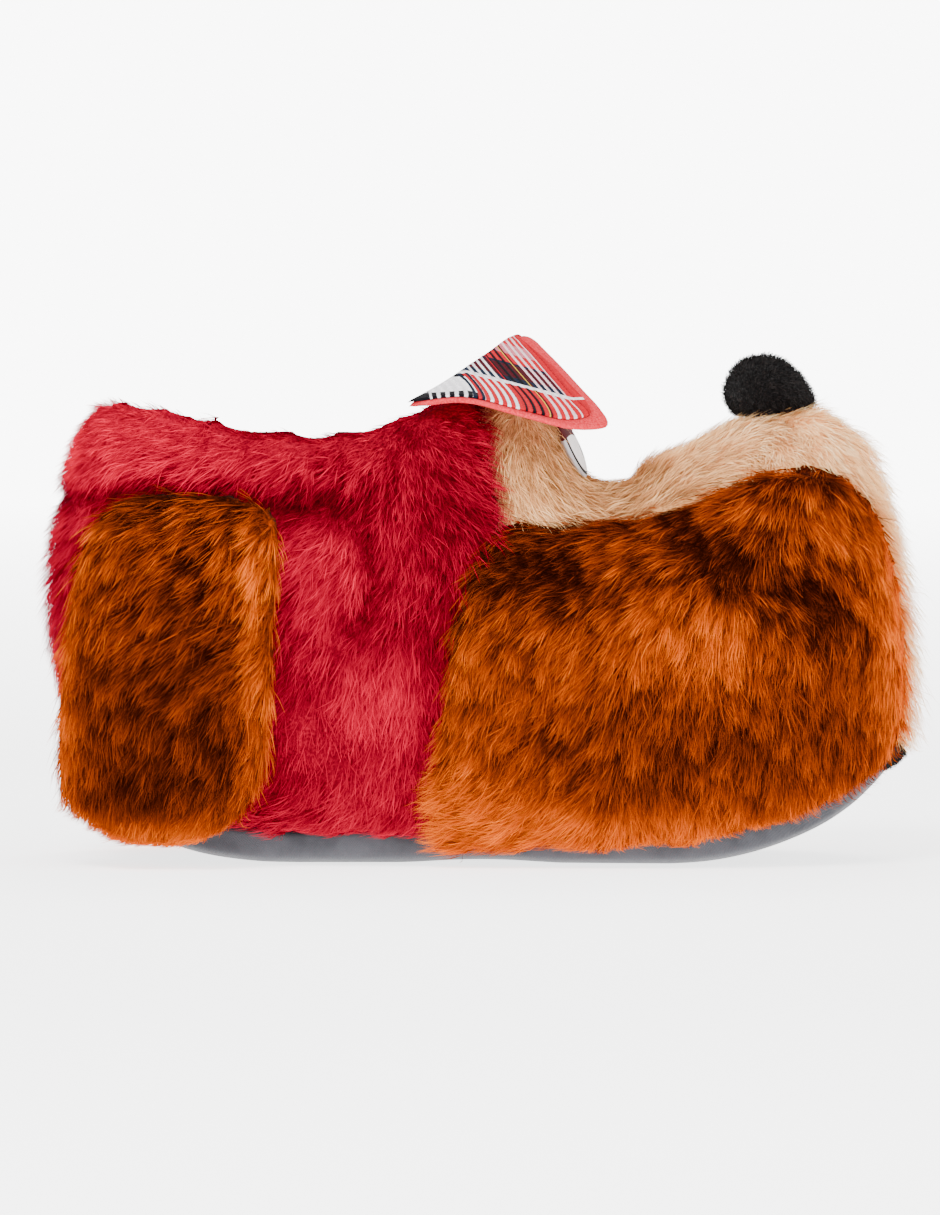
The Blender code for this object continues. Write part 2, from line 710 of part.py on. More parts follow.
def make_eye(side, group, finish):
    """One eye: a flattened ball set in the forehead, leaning back and turned a little to its own side."""
    name = "eye_left" if side > 0 else "eye_right"
    centre = Vector((HEEL_X + EYE_AT * LENGTH, side * EYE_SPACING / 2, EYE_LEVEL * MUZZLE_HEIGHT))
    turn = Matrix.Rotation(side * EYE_TURN, 3, "Z") @ Matrix.Rotation(-EYE_LEAN, 3, "Y")
    shell = bmesh.new()
    bmesh.ops.create_uvsphere(shell, u_segments=18, v_segments=8, radius=0.5)
    for corner in shell.verts:
        flat = (corner.co.z * EYE_THICKNESS, corner.co.y * EYE_WIDTH, -corner.co.x * EYE_HEIGHT)
        corner.co = centre + turn @ Vector(flat)
    mesh = bpy.data.meshes.new(name)
    shell.to_mesh(mesh)
    shell.free()
    return link(mesh, name, group, finish)


def make_nose(group, finish):
    """The nose: a squashed ball, fuller at its back, leaning down over the muzzle's front."""
    mesh = bpy.data.meshes.new("nose")
    shell = bmesh.new()
    bmesh.ops.create_uvsphere(shell, u_segments=18, v_segments=10, radius=0.5)
    rows = refine(HEAD, 4)
    x = HEEL_X + NOSE_AT * LENGTH
    crest = np.interp(NOSE_AT, rows[:, 0], rows[:, 3]) * MUZZLE_HEIGHT
    centre = np.array([x, 0.0, crest + NOSE_HEIGHT * (0.5 - NOSE_SINK * 0.5)])
    for corner in shell.verts:
        along, across, up = corner.co
        taper = 1.0 - 0.35 * max(along, 0.0)
        local_x = along * NOSE_LENGTH * (1.12 if along > 0 else 1.0)
        local_z = up * NOSE_HEIGHT * taper
        turned = np.array(
            [
                local_x * np.cos(NOSE_TILT) + local_z * np.sin(NOSE_TILT),
                across * NOSE_WIDTH * taper,
                local_z * np.cos(NOSE_TILT) - local_x * np.sin(NOSE_TILT),
            ]
        )
        corner.co = centre + turned
    shell.to_mesh(mesh)
    shell.free()
    return link(mesh, "nose", group, finish)


def lip_rings(grow=0.0):
    """Rings of the black lower lip: a short roll that bends round the toe, between the chin and the sole."""
    turn = np.linspace(0.0, 2 * np.pi, LIP_POINTS, endpoint=False)
    rings = []
    for share in np.linspace(-1.0, 1.0, LIP_POINTS + 1):
        radius = LIP_THICKNESS / 2 * max(1.0 - share**4, 0.15) + grow
        y = share * (LIP_LENGTH / 2 + grow)
        x = HEEL_X + LIP_AT * LENGTH - 0.16 * LIP_LENGTH * share**2
        z = LIP_LEVEL * COLLAR_HEIGHT - 0.10 * LIP_LENGTH * share**2
        rings.append([(x + radius * np.cos(t), y, z + radius * np.sin(t)) for t in turn])
    return rings


def make_finishes():
    """One material for each kind of cloth, plush and felt."""
    return {
        "red": material("red_plush", RED_PLUSH, 0.85),
        "rust": material("rust_plush", RUST_PLUSH, 0.85),
        "cream": material("cream_plush", CREAM_PLUSH, 0.85),
        "black": material("black_plush", BLACK_PLUSH, 0.8),
        "sole": material("sole_cloth", GREY_CLOTH, 0.6),
        "lining": material("insole_cloth", LINING_CLOTH, 0.9),
        "eye": material("eye_white", EYE_WHITE, 0.35),
        "felt": material("visor_felt", VISOR_RED, 0.8),
        "plaid": material("visor_plaid", VISOR_PLAID, 0.8),
    }


def make_upper(parts, helpers, finishes, grown_sole, visor_clear):
    """The hollow upper: body less the foot's space, the foot opening, the sole and the visor's seat."""
    upper = loft("upper", body_rings(), parts, finishes["red"])
    cut(upper, as_cutter(loft("foot_space", cavity_rings(), helpers)))
    cut(upper, as_cutter(loft("opening_space", opening_rings(), helpers)))
    cut(upper, grown_sole)
    cut(upper, visor_clear)
    tidy(upper)
    return upper


def make_insole(parts, helpers, finishes, grown_sole):
    """The insole: the foot's space, less the sole and all that lies above the insole's top."""
    insole = loft("insole", cavity_rings(-SEAM_GAP), parts, finishes["lining"])
    rings = []
    for x in HEEL_X + np.linspace(-0.02, 1.02, 30) * LENGTH:
        low = sole_levels(x)[1] + SEAM_GAP + INSOLE_THICKNESS
        corners = [(BODY_WIDTH, low), (BODY_WIDTH, 2 * COLLAR_HEIGHT), (-BODY_WIDTH, 2 * COLLAR_HEIGHT), (-BODY_WIDTH, low)]
        rings.append([(x, y, z) for y, z in corners])
    cut(insole, as_cutter(loft("over_insole", rings, helpers)))
    cut(insole, grown_sole)
    tidy(insole)
    return insole


def build():
    """Makes every piece of the slipper."""
    clear_scene()
    parts = collection("plush_dog_slipper")
    helpers = collection("cutters")
    finishes = make_finishes()

    outsole = loft("outsole", sole_rings(), parts, finishes["sole"])
    tidy(outsole)
    grown_sole = as_cutter(loft("sole_clear", sole_rings(SEAM_GAP), helpers))
    visor_clear = as_cutter(loft("visor_clear", over_visor(), helpers))
    make_upper(parts, helpers, finishes, grown_sole, visor_clear)
    make_insole(parts, helpers, finishes, grown_sole)

    body_clear = as_cutter(loft("body_clear", body_rings(SEAM_GAP), helpers))
    head = loft("face", head_rings(), parts, finishes["cream"])
    for cutter in (body_clear, grown_sole, visor_clear):
        cut(head, cutter)
    tidy(head)

    head_clear = as_cutter(loft("head_clear", head_rings(SEAM_GAP), helpers))
    lip_clear = as_cutter(loft("lip_clear", lip_rings(SEAM_GAP), helpers))
    cheek = loft("cheek_left", cheek_rings(), parts, finishes["rust"])
    for cutter in (body_clear, head_clear, grown_sole, visor_clear, lip_clear):
        cut(cheek, cutter)
    tidy(cheek)
    mirrored(cheek, "cheek_right", parts)

    haunch = loft("haunch_left", haunch_rings(), parts, finishes["rust"])
    for cutter in (body_clear, grown_sole):
        cut(haunch, cutter)
    tidy(haunch)
    mirrored(haunch, "haunch_right", parts)

    nose = make_nose(parts, finishes["black"])
    cut(nose, head_clear)
    tidy(nose)

    lip = loft("lip", lip_rings(), parts, finishes["black"])
    for cutter in (grown_sole, head_clear):
        cut(lip, cutter)
    tidy(lip)

    for side in (1, -1):
        eye = make_eye(side, parts, finishes["eye"])
        for cutter in (head_clear, visor_clear):
            cut(eye, cutter)
        tidy(eye)

    grid = visor_grid()
    tidy(loft("visor_base", layer(grid, 0.0, VISOR_THICKNESS), parts, finishes["felt"]))
    low = VISOR_THICKNESS + SEAM_GAP
    plaid_rings = [
        np.delete(ring, (VISOR_ACROSS, VISOR_ACROSS + 1), axis=0)
        for ring in layer(grid, low, low + VISOR_COVER_THICKNESS)
    ]
    tidy(loft("visor_cover", plaid_rings, parts, finishes["plaid"]))


build()
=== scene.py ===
"""A plush animal slipper: skins, combed pile, eyes, plaid visor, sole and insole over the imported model."""

import logging
from dataclasses import dataclass, field, replace
from enum import Enum
from typing import NamedTuple, Optional, Sequence, Union

import bmesh
import bpy
import numpy as np
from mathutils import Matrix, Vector
from mathutils.bvhtree import BVHTree
from mathutils.kdtree import KDTree


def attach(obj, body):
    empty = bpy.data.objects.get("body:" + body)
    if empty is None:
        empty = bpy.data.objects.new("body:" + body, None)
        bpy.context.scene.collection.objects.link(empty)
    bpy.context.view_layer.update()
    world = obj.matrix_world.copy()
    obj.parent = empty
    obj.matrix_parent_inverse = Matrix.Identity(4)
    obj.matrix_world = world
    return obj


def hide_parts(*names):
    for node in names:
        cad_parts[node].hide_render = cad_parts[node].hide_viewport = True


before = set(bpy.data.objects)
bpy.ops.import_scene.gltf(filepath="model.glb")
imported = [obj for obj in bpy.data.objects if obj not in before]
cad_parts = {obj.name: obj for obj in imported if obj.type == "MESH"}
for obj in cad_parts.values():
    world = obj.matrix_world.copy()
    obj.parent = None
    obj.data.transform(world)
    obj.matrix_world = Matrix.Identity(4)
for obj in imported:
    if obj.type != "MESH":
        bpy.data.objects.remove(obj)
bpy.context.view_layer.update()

Array = np.ndarray
Mesh = bpy.types.Mesh
Piece = bpy.types.Object
Material = bpy.types.Material
Socket = bpy.types.NodeSocket
Colour = tuple[float, float, float]
Stops = Sequence[tuple[float, Colour]]
Feed = Union[float, Sequence[float], Socket]
MM = 0.001
LOG = logging.getLogger("slipper")


class Stroke(NamedTuple):
    """One stroke of the comb: its place in mm, and its way in degrees above straight ahead."""

    x: float
    z: float
    way: float


class Patch(NamedTuple):
    """A darker or brighter patch, mostly painted shade in folds and hollows and painted light on edges, hems
    and tops, partly the dye's own tone: its place and reach in mm, its shade and its weight.
    """

    x: float
    z: float
    reach_x: float
    reach_z: float
    shade: float
    weight: float


class Crease(NamedTuple):
    """One straight stretch of a fold in the plush: its ends, depth and width in mm."""

    x: float
    z: float
    end_x: float
    end_z: float
    depth: float
    width: float


class VisorRib(NamedTuple):
    """One rib of the visor: its rear and front ends and the bare felt past the plaid, all in mm."""

    rear_x: float
    rear_y: float
    rear_z: float
    front_x: float
    front_y: float
    front_z: float
    margin: float


class SoleStation(NamedTuple):
    """One station of the sole: place, half width, floor lift and thickness, all in mm."""

    x: float
    half_width: float
    lift: float
    thick: float


class PadLine(NamedTuple):
    """How a pad lies at one place: how far its top has sunk and how high its hem hangs, in mm."""

    x: float
    drop: float
    hem: float


class Side(Enum):
    """The two sides of the slipper."""

    RIGHT = -1
    LEFT = 1


def rows(kind: type, values: Sequence[Sequence[float]]) -> tuple:
    """A table whose rows have the named columns of a class."""
    return tuple(kind(*row) for row in values)


RED_COMB = rows(Stroke, (
    (-83, 153, 208), (-95, 152, 250), (-97, 139, 250), (-69, 146, 205), (-100, 108, 260), (-104, 87, 260),
    (-41, 145, 215), (-16, 146, 225), (1, 153, 225), (19, 157, 235), (-9, 129, 250), (-6, 118, 200),
    (-20, 108, 225), (-6, 94, 230), (-16, 80, 238), (8, 117, 285), (12, 97, 266), (20, 111, 248),
    (26, 122, 240), (29, 94, 255), (38, 129, 308), (33, 143, 295), (44, 150, 325), (45, 136, 322),
    (45, 122, 316), (43, 165, 320), (1, 66, 265), (-16, 41, 262), (19, 59, 272), (19, 31, 265),
    (-16, 12, 205), (-39, 3, 190), (1, 10, 245), (26, 13, 235), (-100, 24, 255), (89, 59, 270),
    (176, 59, 275),
))
HAUNCH_COMB = rows(Stroke, (
    (-51, 131, 195), (-79, 129, 202), (-30, 124, 205), (-51, 108, 225), (-86, 108, 240), (-69, 87, 220),
    (-41, 87, 222), (-41, 76, 212), (-30, 108, 268), (-28, 59, 268), (-97, 94, 255), (-100, 59, 262),
    (-93, 31, 255), (-69, 31, 258), (-41, 27, 256), (-69, 10, 250), (-50, 12, 235), (-69, 59, 240),
))
CHEEK_COMB = rows(Stroke, (
    (71, 113, 190), (47, 94, 232), (40, 76, 262), (89, 87, 245), (124, 87, 268), (122, 111, 192),
    (138, 120, 200), (150, 108, 350), (138, 97, 270), (152, 131, 232), (166, 122, 305), (183, 108, 300),
    (176, 76, 272), (159, 59, 270), (124, 41, 268), (54, 52, 242), (71, 31, 235), (61, 14, 198),
    (38, 13, 192), (106, 17, 268), (141, 20, 282), (176, 31, 290), (195, 59, 276), (96, 124, 196),
    (117, 131, 205), (89, 104, 205), (110, 101, 238), (190, 87, 285),
))
FACE_COMB = rows(Stroke, (
    (50, 150, 262), (64, 132, 285), (75, 122, 315), (75, 150, 275), (89, 138, 55), (97, 135, 45),
    (106, 145, 40), (124, 153, 28), (139, 160, 18), (124, 139, 330), (173, 153, 292), (183, 129, 286),
    (195, 94, 290), (198, 62, 285), (159, 150, 262), (152, 139, 245), (166, 162, 330),
))
# Patches of painted light and shade on each plush: mostly painted shade, darker in folds, hollows and where
# parts meet, and painted light, brighter on edges, hems and tops, with some of the dye's own tone.
RED_ZONES = rows(Patch, (
    (-58, 133, 44, 3, 0.32, 1.6), (-16, 129, 13, 5, 0.30, 2.0), (-6, 108, 18, 12, 0.64, 1.0),
    (19, 65, 9, 8, 0.70, 1.4), (-20, 90, 6, 24, 0.38, 1.0), (15, 90, 7, 12, 0.39, 0.9),
    (1, 10, 16, 6, 0.61, 1.0), (-34, 2, 24, 3, 0.72, 2.0), (-83, 148, 20, 10, 0.84, 2.0),
    (33, 80, 5, 36, 0.34, 1.2), (1, 150, 21, 7, 0.57, 0.7), (-37, 146, 24, 6, 0.66, 1.2),
))
HAUNCH_ZONES = rows(Patch, (
    (-62, 122, 34, 10, 0.32, 1.6), (-64, 58, 25, 36, 0.15, 2.4), (-103, 73, 6, 53, 0.95, 3.0),
    (-27, 85, 5, 44, 0.9, 2.5), (-65, 11, 38, 6, 1.0, 5.0), (-92, 113, 8, 12, 0.64, 1.0),
))
CHEEK_ZONES = rows(Patch, (
    (75, 107, 26, 12, 0.21, 2.0), (138, 109, 15, 9, 0.27, 2.0), (166, 92, 10, 15, 0.28, 1.6),
    (89, 50, 24, 16, 0.27, 1.4), (131, 48, 24, 17, 0.27, 1.6), (166, 48, 21, 12, 0.28, 1.2),
    (55, 76, 20, 20, 0.5, 1.6), (118, 86, 15, 10, 0.75, 1.6), (197, 73, 6, 44, 0.86, 2.6),
    (92, 14, 68, 7, 0.84, 2.2), (43, 20, 14, 16, 0.75, 1.2), (96, 80, 12, 12, 0.50, 1.0),
    (155, 129, 16, 7, 0.46, 0.8), (176, 24, 21, 7, 0.72, 1.0),
))
FACE_ZONES = rows(Patch, (
    (59, 150, 17, 18, 0.34, 1.6), (64, 122, 16, 5, 0.64, 1.2), (96, 132, 14, 6, 0.32, 1.0),
    (124, 150, 17, 6, 0.75, 1.4), (173, 153, 12, 10, 0.82, 1.5), (195, 108, 9, 44, 0.82, 2.0),
    (152, 145, 16, 8, 0.54, 0.8),
))

VISOR_RIBS = rows(VisorRib, (
    (22.0, -40.0, 160.6, 26.0, -45.0, 161.5, 1.8), (30.0, -34.0, 164.8, 42.5, -52.5, 162.6, 2.0),
    (37.1, -28.8, 169.4, 62.0, -56.0, 157.6, 2.5), (43.0, -23.5, 173.6, 78.5, -55.0, 153.4, 3.8),
    (48.5, -17.8, 177.2, 90.5, -48.5, 153.8, 7.5), (52.0, -13.2, 179.6, 88.8, -40.5, 158.3, 16.0),
    (54.3, -9.5, 181.2, 83.2, -31.0, 164.3, 18.0), (56.0, -6.0, 182.1, 76.2, -21.5, 171.8, 17.0),
    (57.5, -1.6, 182.4, 69.0, -11.0, 179.0, 10.5), (58.6, 4.5, 181.4, 66.0, 0.5, 181.8, 5.0),
    (59.2, 13.5, 177.2, 66.5, 13.0, 178.4, 3.5), (59.2, 24.5, 169.8, 68.0, 26.0, 171.0, 3.0),
    (58.6, 36.0, 158.4, 67.0, 38.0, 159.4, 2.5),
))

SOLE_STATIONS = rows(SoleStation, (
    (-88.00, 1.01, 28.05, 1.95), (-84.62, 13.64, 21.00, 6.00), (-78.13, 23.73, 13.80, 9.90),
    (-66.85, 32.32, 7.95, 12.90), (-51.34, 37.88, 3.15, 14.70), (-34.42, 40.40, 0.67, 15.00),
    (-17.50, 40.91, 0.00, 15.00), (17.75, 40.91, 0.00, 15.00), (38.90, 41.41, 0.98, 14.25),
    (55.82, 42.42, 0.98, 14.25), (75.56, 45.45, 0.00, 15.00), (92.48, 48.48, 0.00, 15.00),
    (113.63, 50.50, 0.00, 15.00), (130.55, 49.99, 1.40, 14.80), (147.47, 47.47, 5.40, 13.50),
    (164.39, 41.41, 12.00, 12.15), (177.08, 33.33, 19.60, 10.85), (186.95, 21.71, 28.20, 9.00),
    (191.74, 12.12, 33.80, 6.40), (194.00, 1.01, 37.50, 3.75),
))

RED_CREASES = rows(Crease, (
    (-108, 131, -80, 133, 1.5, 4.0), (-80, 133, -46, 132, 4.5, 4.5), (-46, 132, -18, 128, 5.0, 4.5),
    (-18, 128, -4, 130, 3.5, 5.0), (-4, 130, 5, 122, 3.0, 4.5), (5, 122, 11, 108, 4.5, 4.0),
    (11, 108, 8, 92, 4.5, 4.0), (8, 92, -1, 84, 3.0, 5.0),
))
CHEEK_CREASES = rows(Crease, (
    (122, 124, 132, 113, 3.0, 7.0), (132, 113, 140, 103, 3.5, 7.0), (140, 103, 156, 104, 2.5, 6.0),
    (156, 104, 166, 92, 3.0, 7.0), (54, 112, 84, 104, 1.8, 8.0),
))

CHEEK_LINES = rows(PadLine, (
    (45, 0.0, 0.0), (62, 1.5, 0.0), (88, 6.0, 1.0), (102, 8.5, 4.0), (117, 7.5, 8.5), (130, 6.0, 11.5),
    (140, 4.5, 14.5), (155, 1.5, 17.5), (165, 0.0, 21.5), (175, 0.0, 25.0), (184, 0.0, 29.0),
    (190, 0.0, 33.0), (198, 0.0, 38.0),
))

# The middle line of the foot's space, by which a wall's inner face is told from its outer one, in mm
FOOT_LINE = (
    (-85.0, 75.0), (-57.0, 85.0), (-20.0, 95.0), (19.0, 70.0),
    (40.0, 55.0), (80.0, 42.0), (127.0, 38.0), (158.0, 38.0),
)


def colour(code: str) -> Colour:
    """The linear colour of a six-digit sRGB code."""
    parts = np.array([int(code[k : k + 2], 16) for k in (0, 2, 4)]) / 255.0
    linear = np.where(parts <= 0.04045, parts / 12.92, ((parts + 0.055) / 1.055) ** 2.4)
    return tuple(float(part) for part in linear)


def unit(vectors: Array) -> Array:
    """The same directions at length one."""
    return vectors / np.maximum(np.linalg.norm(vectors, axis=-1, keepdims=True), 1e-12)


def ease(values: Array, low: float, high: float) -> Array:
    """A smooth step from 0 at low to 1 at high: three squares less two cubes of the share between them."""
    share = np.clip((values - low) / (high - low), 0.0, 1.0)
    return share * share * (3.0 - 2.0 * share)


def wobble(points: Array, size: float, seed: int) -> Array:
    """A slow random swell over space: the mean of six sine waves of about one size in random ways.

    Args:
        points: places in metres, one row each.
        size: the waves' length in metres.
        seed: which swell.

    Returns:
        One value from about -1 to 1 for each place.
    """
    rng = np.random.default_rng(seed)
    ways = unit(rng.normal(size=(6, 3))) * (2 * np.pi / size) * rng.uniform(0.7, 1.5, (6, 1))
    return np.sin(points @ ways.T + rng.uniform(0, 2 * np.pi, 6)).mean(axis=1) * 1.6


def clumps(points: Array, size: float, seed: int) -> tuple[Array, Array]:
    """The tuft that each place belongs to: the nearest of one random point in each cell of a cubic grid.

    Args:
        points: places in metres, one row each.
        size: the cells' side in metres.
        seed: which tufts.

    Returns:
        The way from each place to its tuft's middle, and three random values from 0 to 1 for its tuft.
    """
    cells = np.floor(points / size).astype(np.int64)
    primes = np.array([73856093, 19349663, 83492791])
    factors = (1103515245, 22695477, 69069)
    best = np.full(len(points), np.inf)
    offset = np.zeros_like(points)
    luck = np.zeros((len(points), 3))
    for step in np.ndindex(3, 3, 3):
        cell = cells + np.array(step) - 1
        mixed = (cell @ primes + seed * 2654435761) & 0xFFFFFFFF
        rolls = np.stack([((mixed * factor + 12345) >> 7) % 10007 / 10007.0 for factor in factors], 1)
        away = (cell + rolls) * size - points
        distance = np.linalg.norm(away, axis=1)
        nearer = distance < best
        best[nearer] = distance[nearer]
        offset[nearer] = away[nearer]
        luck[nearer] = rolls[nearer][:, [1, 2, 0]]
    return offset, luck


def through(rows: Sequence[NamedTuple], steps: int) -> Array:
    """A smooth curve through a table's rows: the cubic that passes each row at its neighbours' slope.

    Args:
        rows: the table.
        steps: new rows for each old one.

    Returns:
        The finer table, one row each.
    """
    table = np.array(rows, float)
    padded = np.vstack([2 * table[0] - table[1], table, 2 * table[-1] - table[-2]])
    before, start, end, after = (padded[k : len(padded) - 3 + k, None] for k in range(4))
    t = (np.arange(steps) / steps)[None, :, None]
    line = (end - before) * t
    square = (2 * before - 5 * start + 4 * end - after) * t**2
    cube = (3 * start - before - 3 * end + after) * t**3
    curve = 0.5 * (2 * start + line + square + cube)
    return np.vstack([curve.reshape(-1, table.shape[1]), table[-1:]])


def grid_faces(rows: int, columns: int, round_columns: bool = False) -> Array:
    """The four-cornered faces of a grid of points, joined round where its columns close."""
    i = np.arange(rows - 1)[:, None]
    j = np.arange(columns if round_columns else columns - 1)[None]
    ahead = (j + 1) % columns
    low = i * columns
    corners = (low + j, low + ahead, low + columns + ahead, low + columns + j)
    return np.stack(np.broadcast_arrays(*corners), -1).reshape(-1, 4)


def vectors(items: bpy.types.bpy_prop_collection, name: str = "co") -> Array:
    """One vector of each item of a mesh, as rows."""
    values = np.empty(len(items) * 3, np.float32)
    items.foreach_get(name, values)
    return values.reshape(-1, 3).astype(float)


def node_tree(node: str) -> BVHTree:
    """The search tree of a node's faces."""
    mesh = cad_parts[node].data
    faces = [tuple(face.vertices) for face in mesh.polygons]
    return BVHTree.FromPolygons([corner.co for corner in mesh.vertices], faces)


def ridge(node: str, x: Array, step: float = 0.006) -> Array:
    """The height of a node's top at places along the slipper, in metres."""
    corners = np.array([corner.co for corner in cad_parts[node].data.vertices])
    bins = ((corners[:, 0] - corners[:, 0].min()) / step).astype(int)
    highest = np.zeros(bins.max() + 1)
    np.maximum.at(highest, bins, corners[:, 2])
    filled = highest > 0
    middles = corners[:, 0].min() + (np.arange(len(highest)) + 0.5) * step
    return np.interp(x, middles[filled], highest[filled])


def make_mesh(name: str, points: Array, groups: Sequence[Array]) -> Mesh:
    """A smooth mesh from points in metres and groups of faces with the same number of corners.

    Args:
        name: the mesh's name.
        points: one row for each vertex.
        groups: arrays of vertex numbers, one row for each face.

    Returns:
        The mesh.
    """
    mesh = bpy.data.meshes.new(name)
    corners = np.concatenate([group.ravel() for group in groups]).astype(np.int32)
    sizes = np.concatenate([np.full(len(group), group.shape[1]) for group in groups])
    starts = np.concatenate([[0], np.cumsum(sizes)[:-1]]).astype(np.int32)
    mesh.vertices.add(len(points))
    mesh.vertices.foreach_set("co", points.astype(np.float32).ravel())
    mesh.loops.add(len(corners))
    mesh.loops.foreach_set("vertex_index", corners)
    mesh.polygons.add(len(sizes))
    mesh.polygons.foreach_set("loop_start", starts)
    mesh.polygons.foreach_set("use_smooth", np.ones(len(sizes), bool))
    mesh.update(calc_edges=True)
    return mesh


def merge(mesh: Mesh, distance: float = 2e-6, turned: bool = False) -> Mesh:
    """Joins a mesh's doubled points, and turns its faces outwards where that is asked."""
    work = bmesh.new()
    work.from_mesh(mesh)
    bmesh.ops.remove_doubles(work, verts=work.verts, dist=distance)
    if turned:
        bmesh.ops.recalc_face_normals(work, faces=work.faces)
    work.to_mesh(mesh)
    work.free()
    return mesh


def shown_mesh(piece: Piece) -> Mesh:
    """A new mesh with the piece's modifiers in it."""
    return bpy.data.meshes.new_from_object(piece.evaluated_get(bpy.context.evaluated_depsgraph_get()))


def evened(name: str, mesh: Mesh, voxel: float, smoothing: int = 0) -> Piece:
    """A new object whose mesh is an even copy of a mesh: remeshed in voxels, and softened if that is asked.

    Args:
        name: the object's name.
        mesh: the mesh to copy.
        voxel: the grain in metres.
        smoothing: rounds of softening.

    Returns:
        The object, with no modifier left on it.
    """
    piece = bpy.data.objects.new(name, mesh)
    bpy.context.scene.collection.objects.link(piece)
    even = piece.modifiers.new("even", "REMESH")
    even.mode = "VOXEL"
    even.voxel_size = voxel
    if smoothing:
        soften = piece.modifiers.new("soften", "SMOOTH")
        soften.factor = 0.5
        soften.iterations = smoothing
    piece.data = shown_mesh(piece)
    piece.modifiers.clear()
    return piece


def add_piece(name: str, mesh: Mesh, finish: Material) -> Piece:
    """A new object at the origin that shows a mesh in one material."""
    mesh.name = name
    mesh.materials.clear()
    mesh.materials.append(finish)
    piece = bpy.data.objects.new(name, mesh)
    bpy.context.scene.collection.objects.link(piece)
    return piece


def paint(mesh: Mesh, name: str, values: Array) -> None:
    """Stores one number for each vertex, for the material to read."""
    layer = mesh.attributes.new(name, "FLOAT", "POINT")
    layer.data.foreach_set("value", values.astype(np.float32))


def lay_uv(mesh: Mesh, flat: Array) -> None:
    """Stores a flat place for each vertex as the mesh's own UV map."""
    corners = np.empty(len(mesh.loops), np.int32)
    mesh.loops.foreach_get("vertex_index", corners)
    layer = mesh.uv_layers.new(name="cut")
    layer.data.foreach_set("uv", flat[corners].astype(np.float32).ravel())


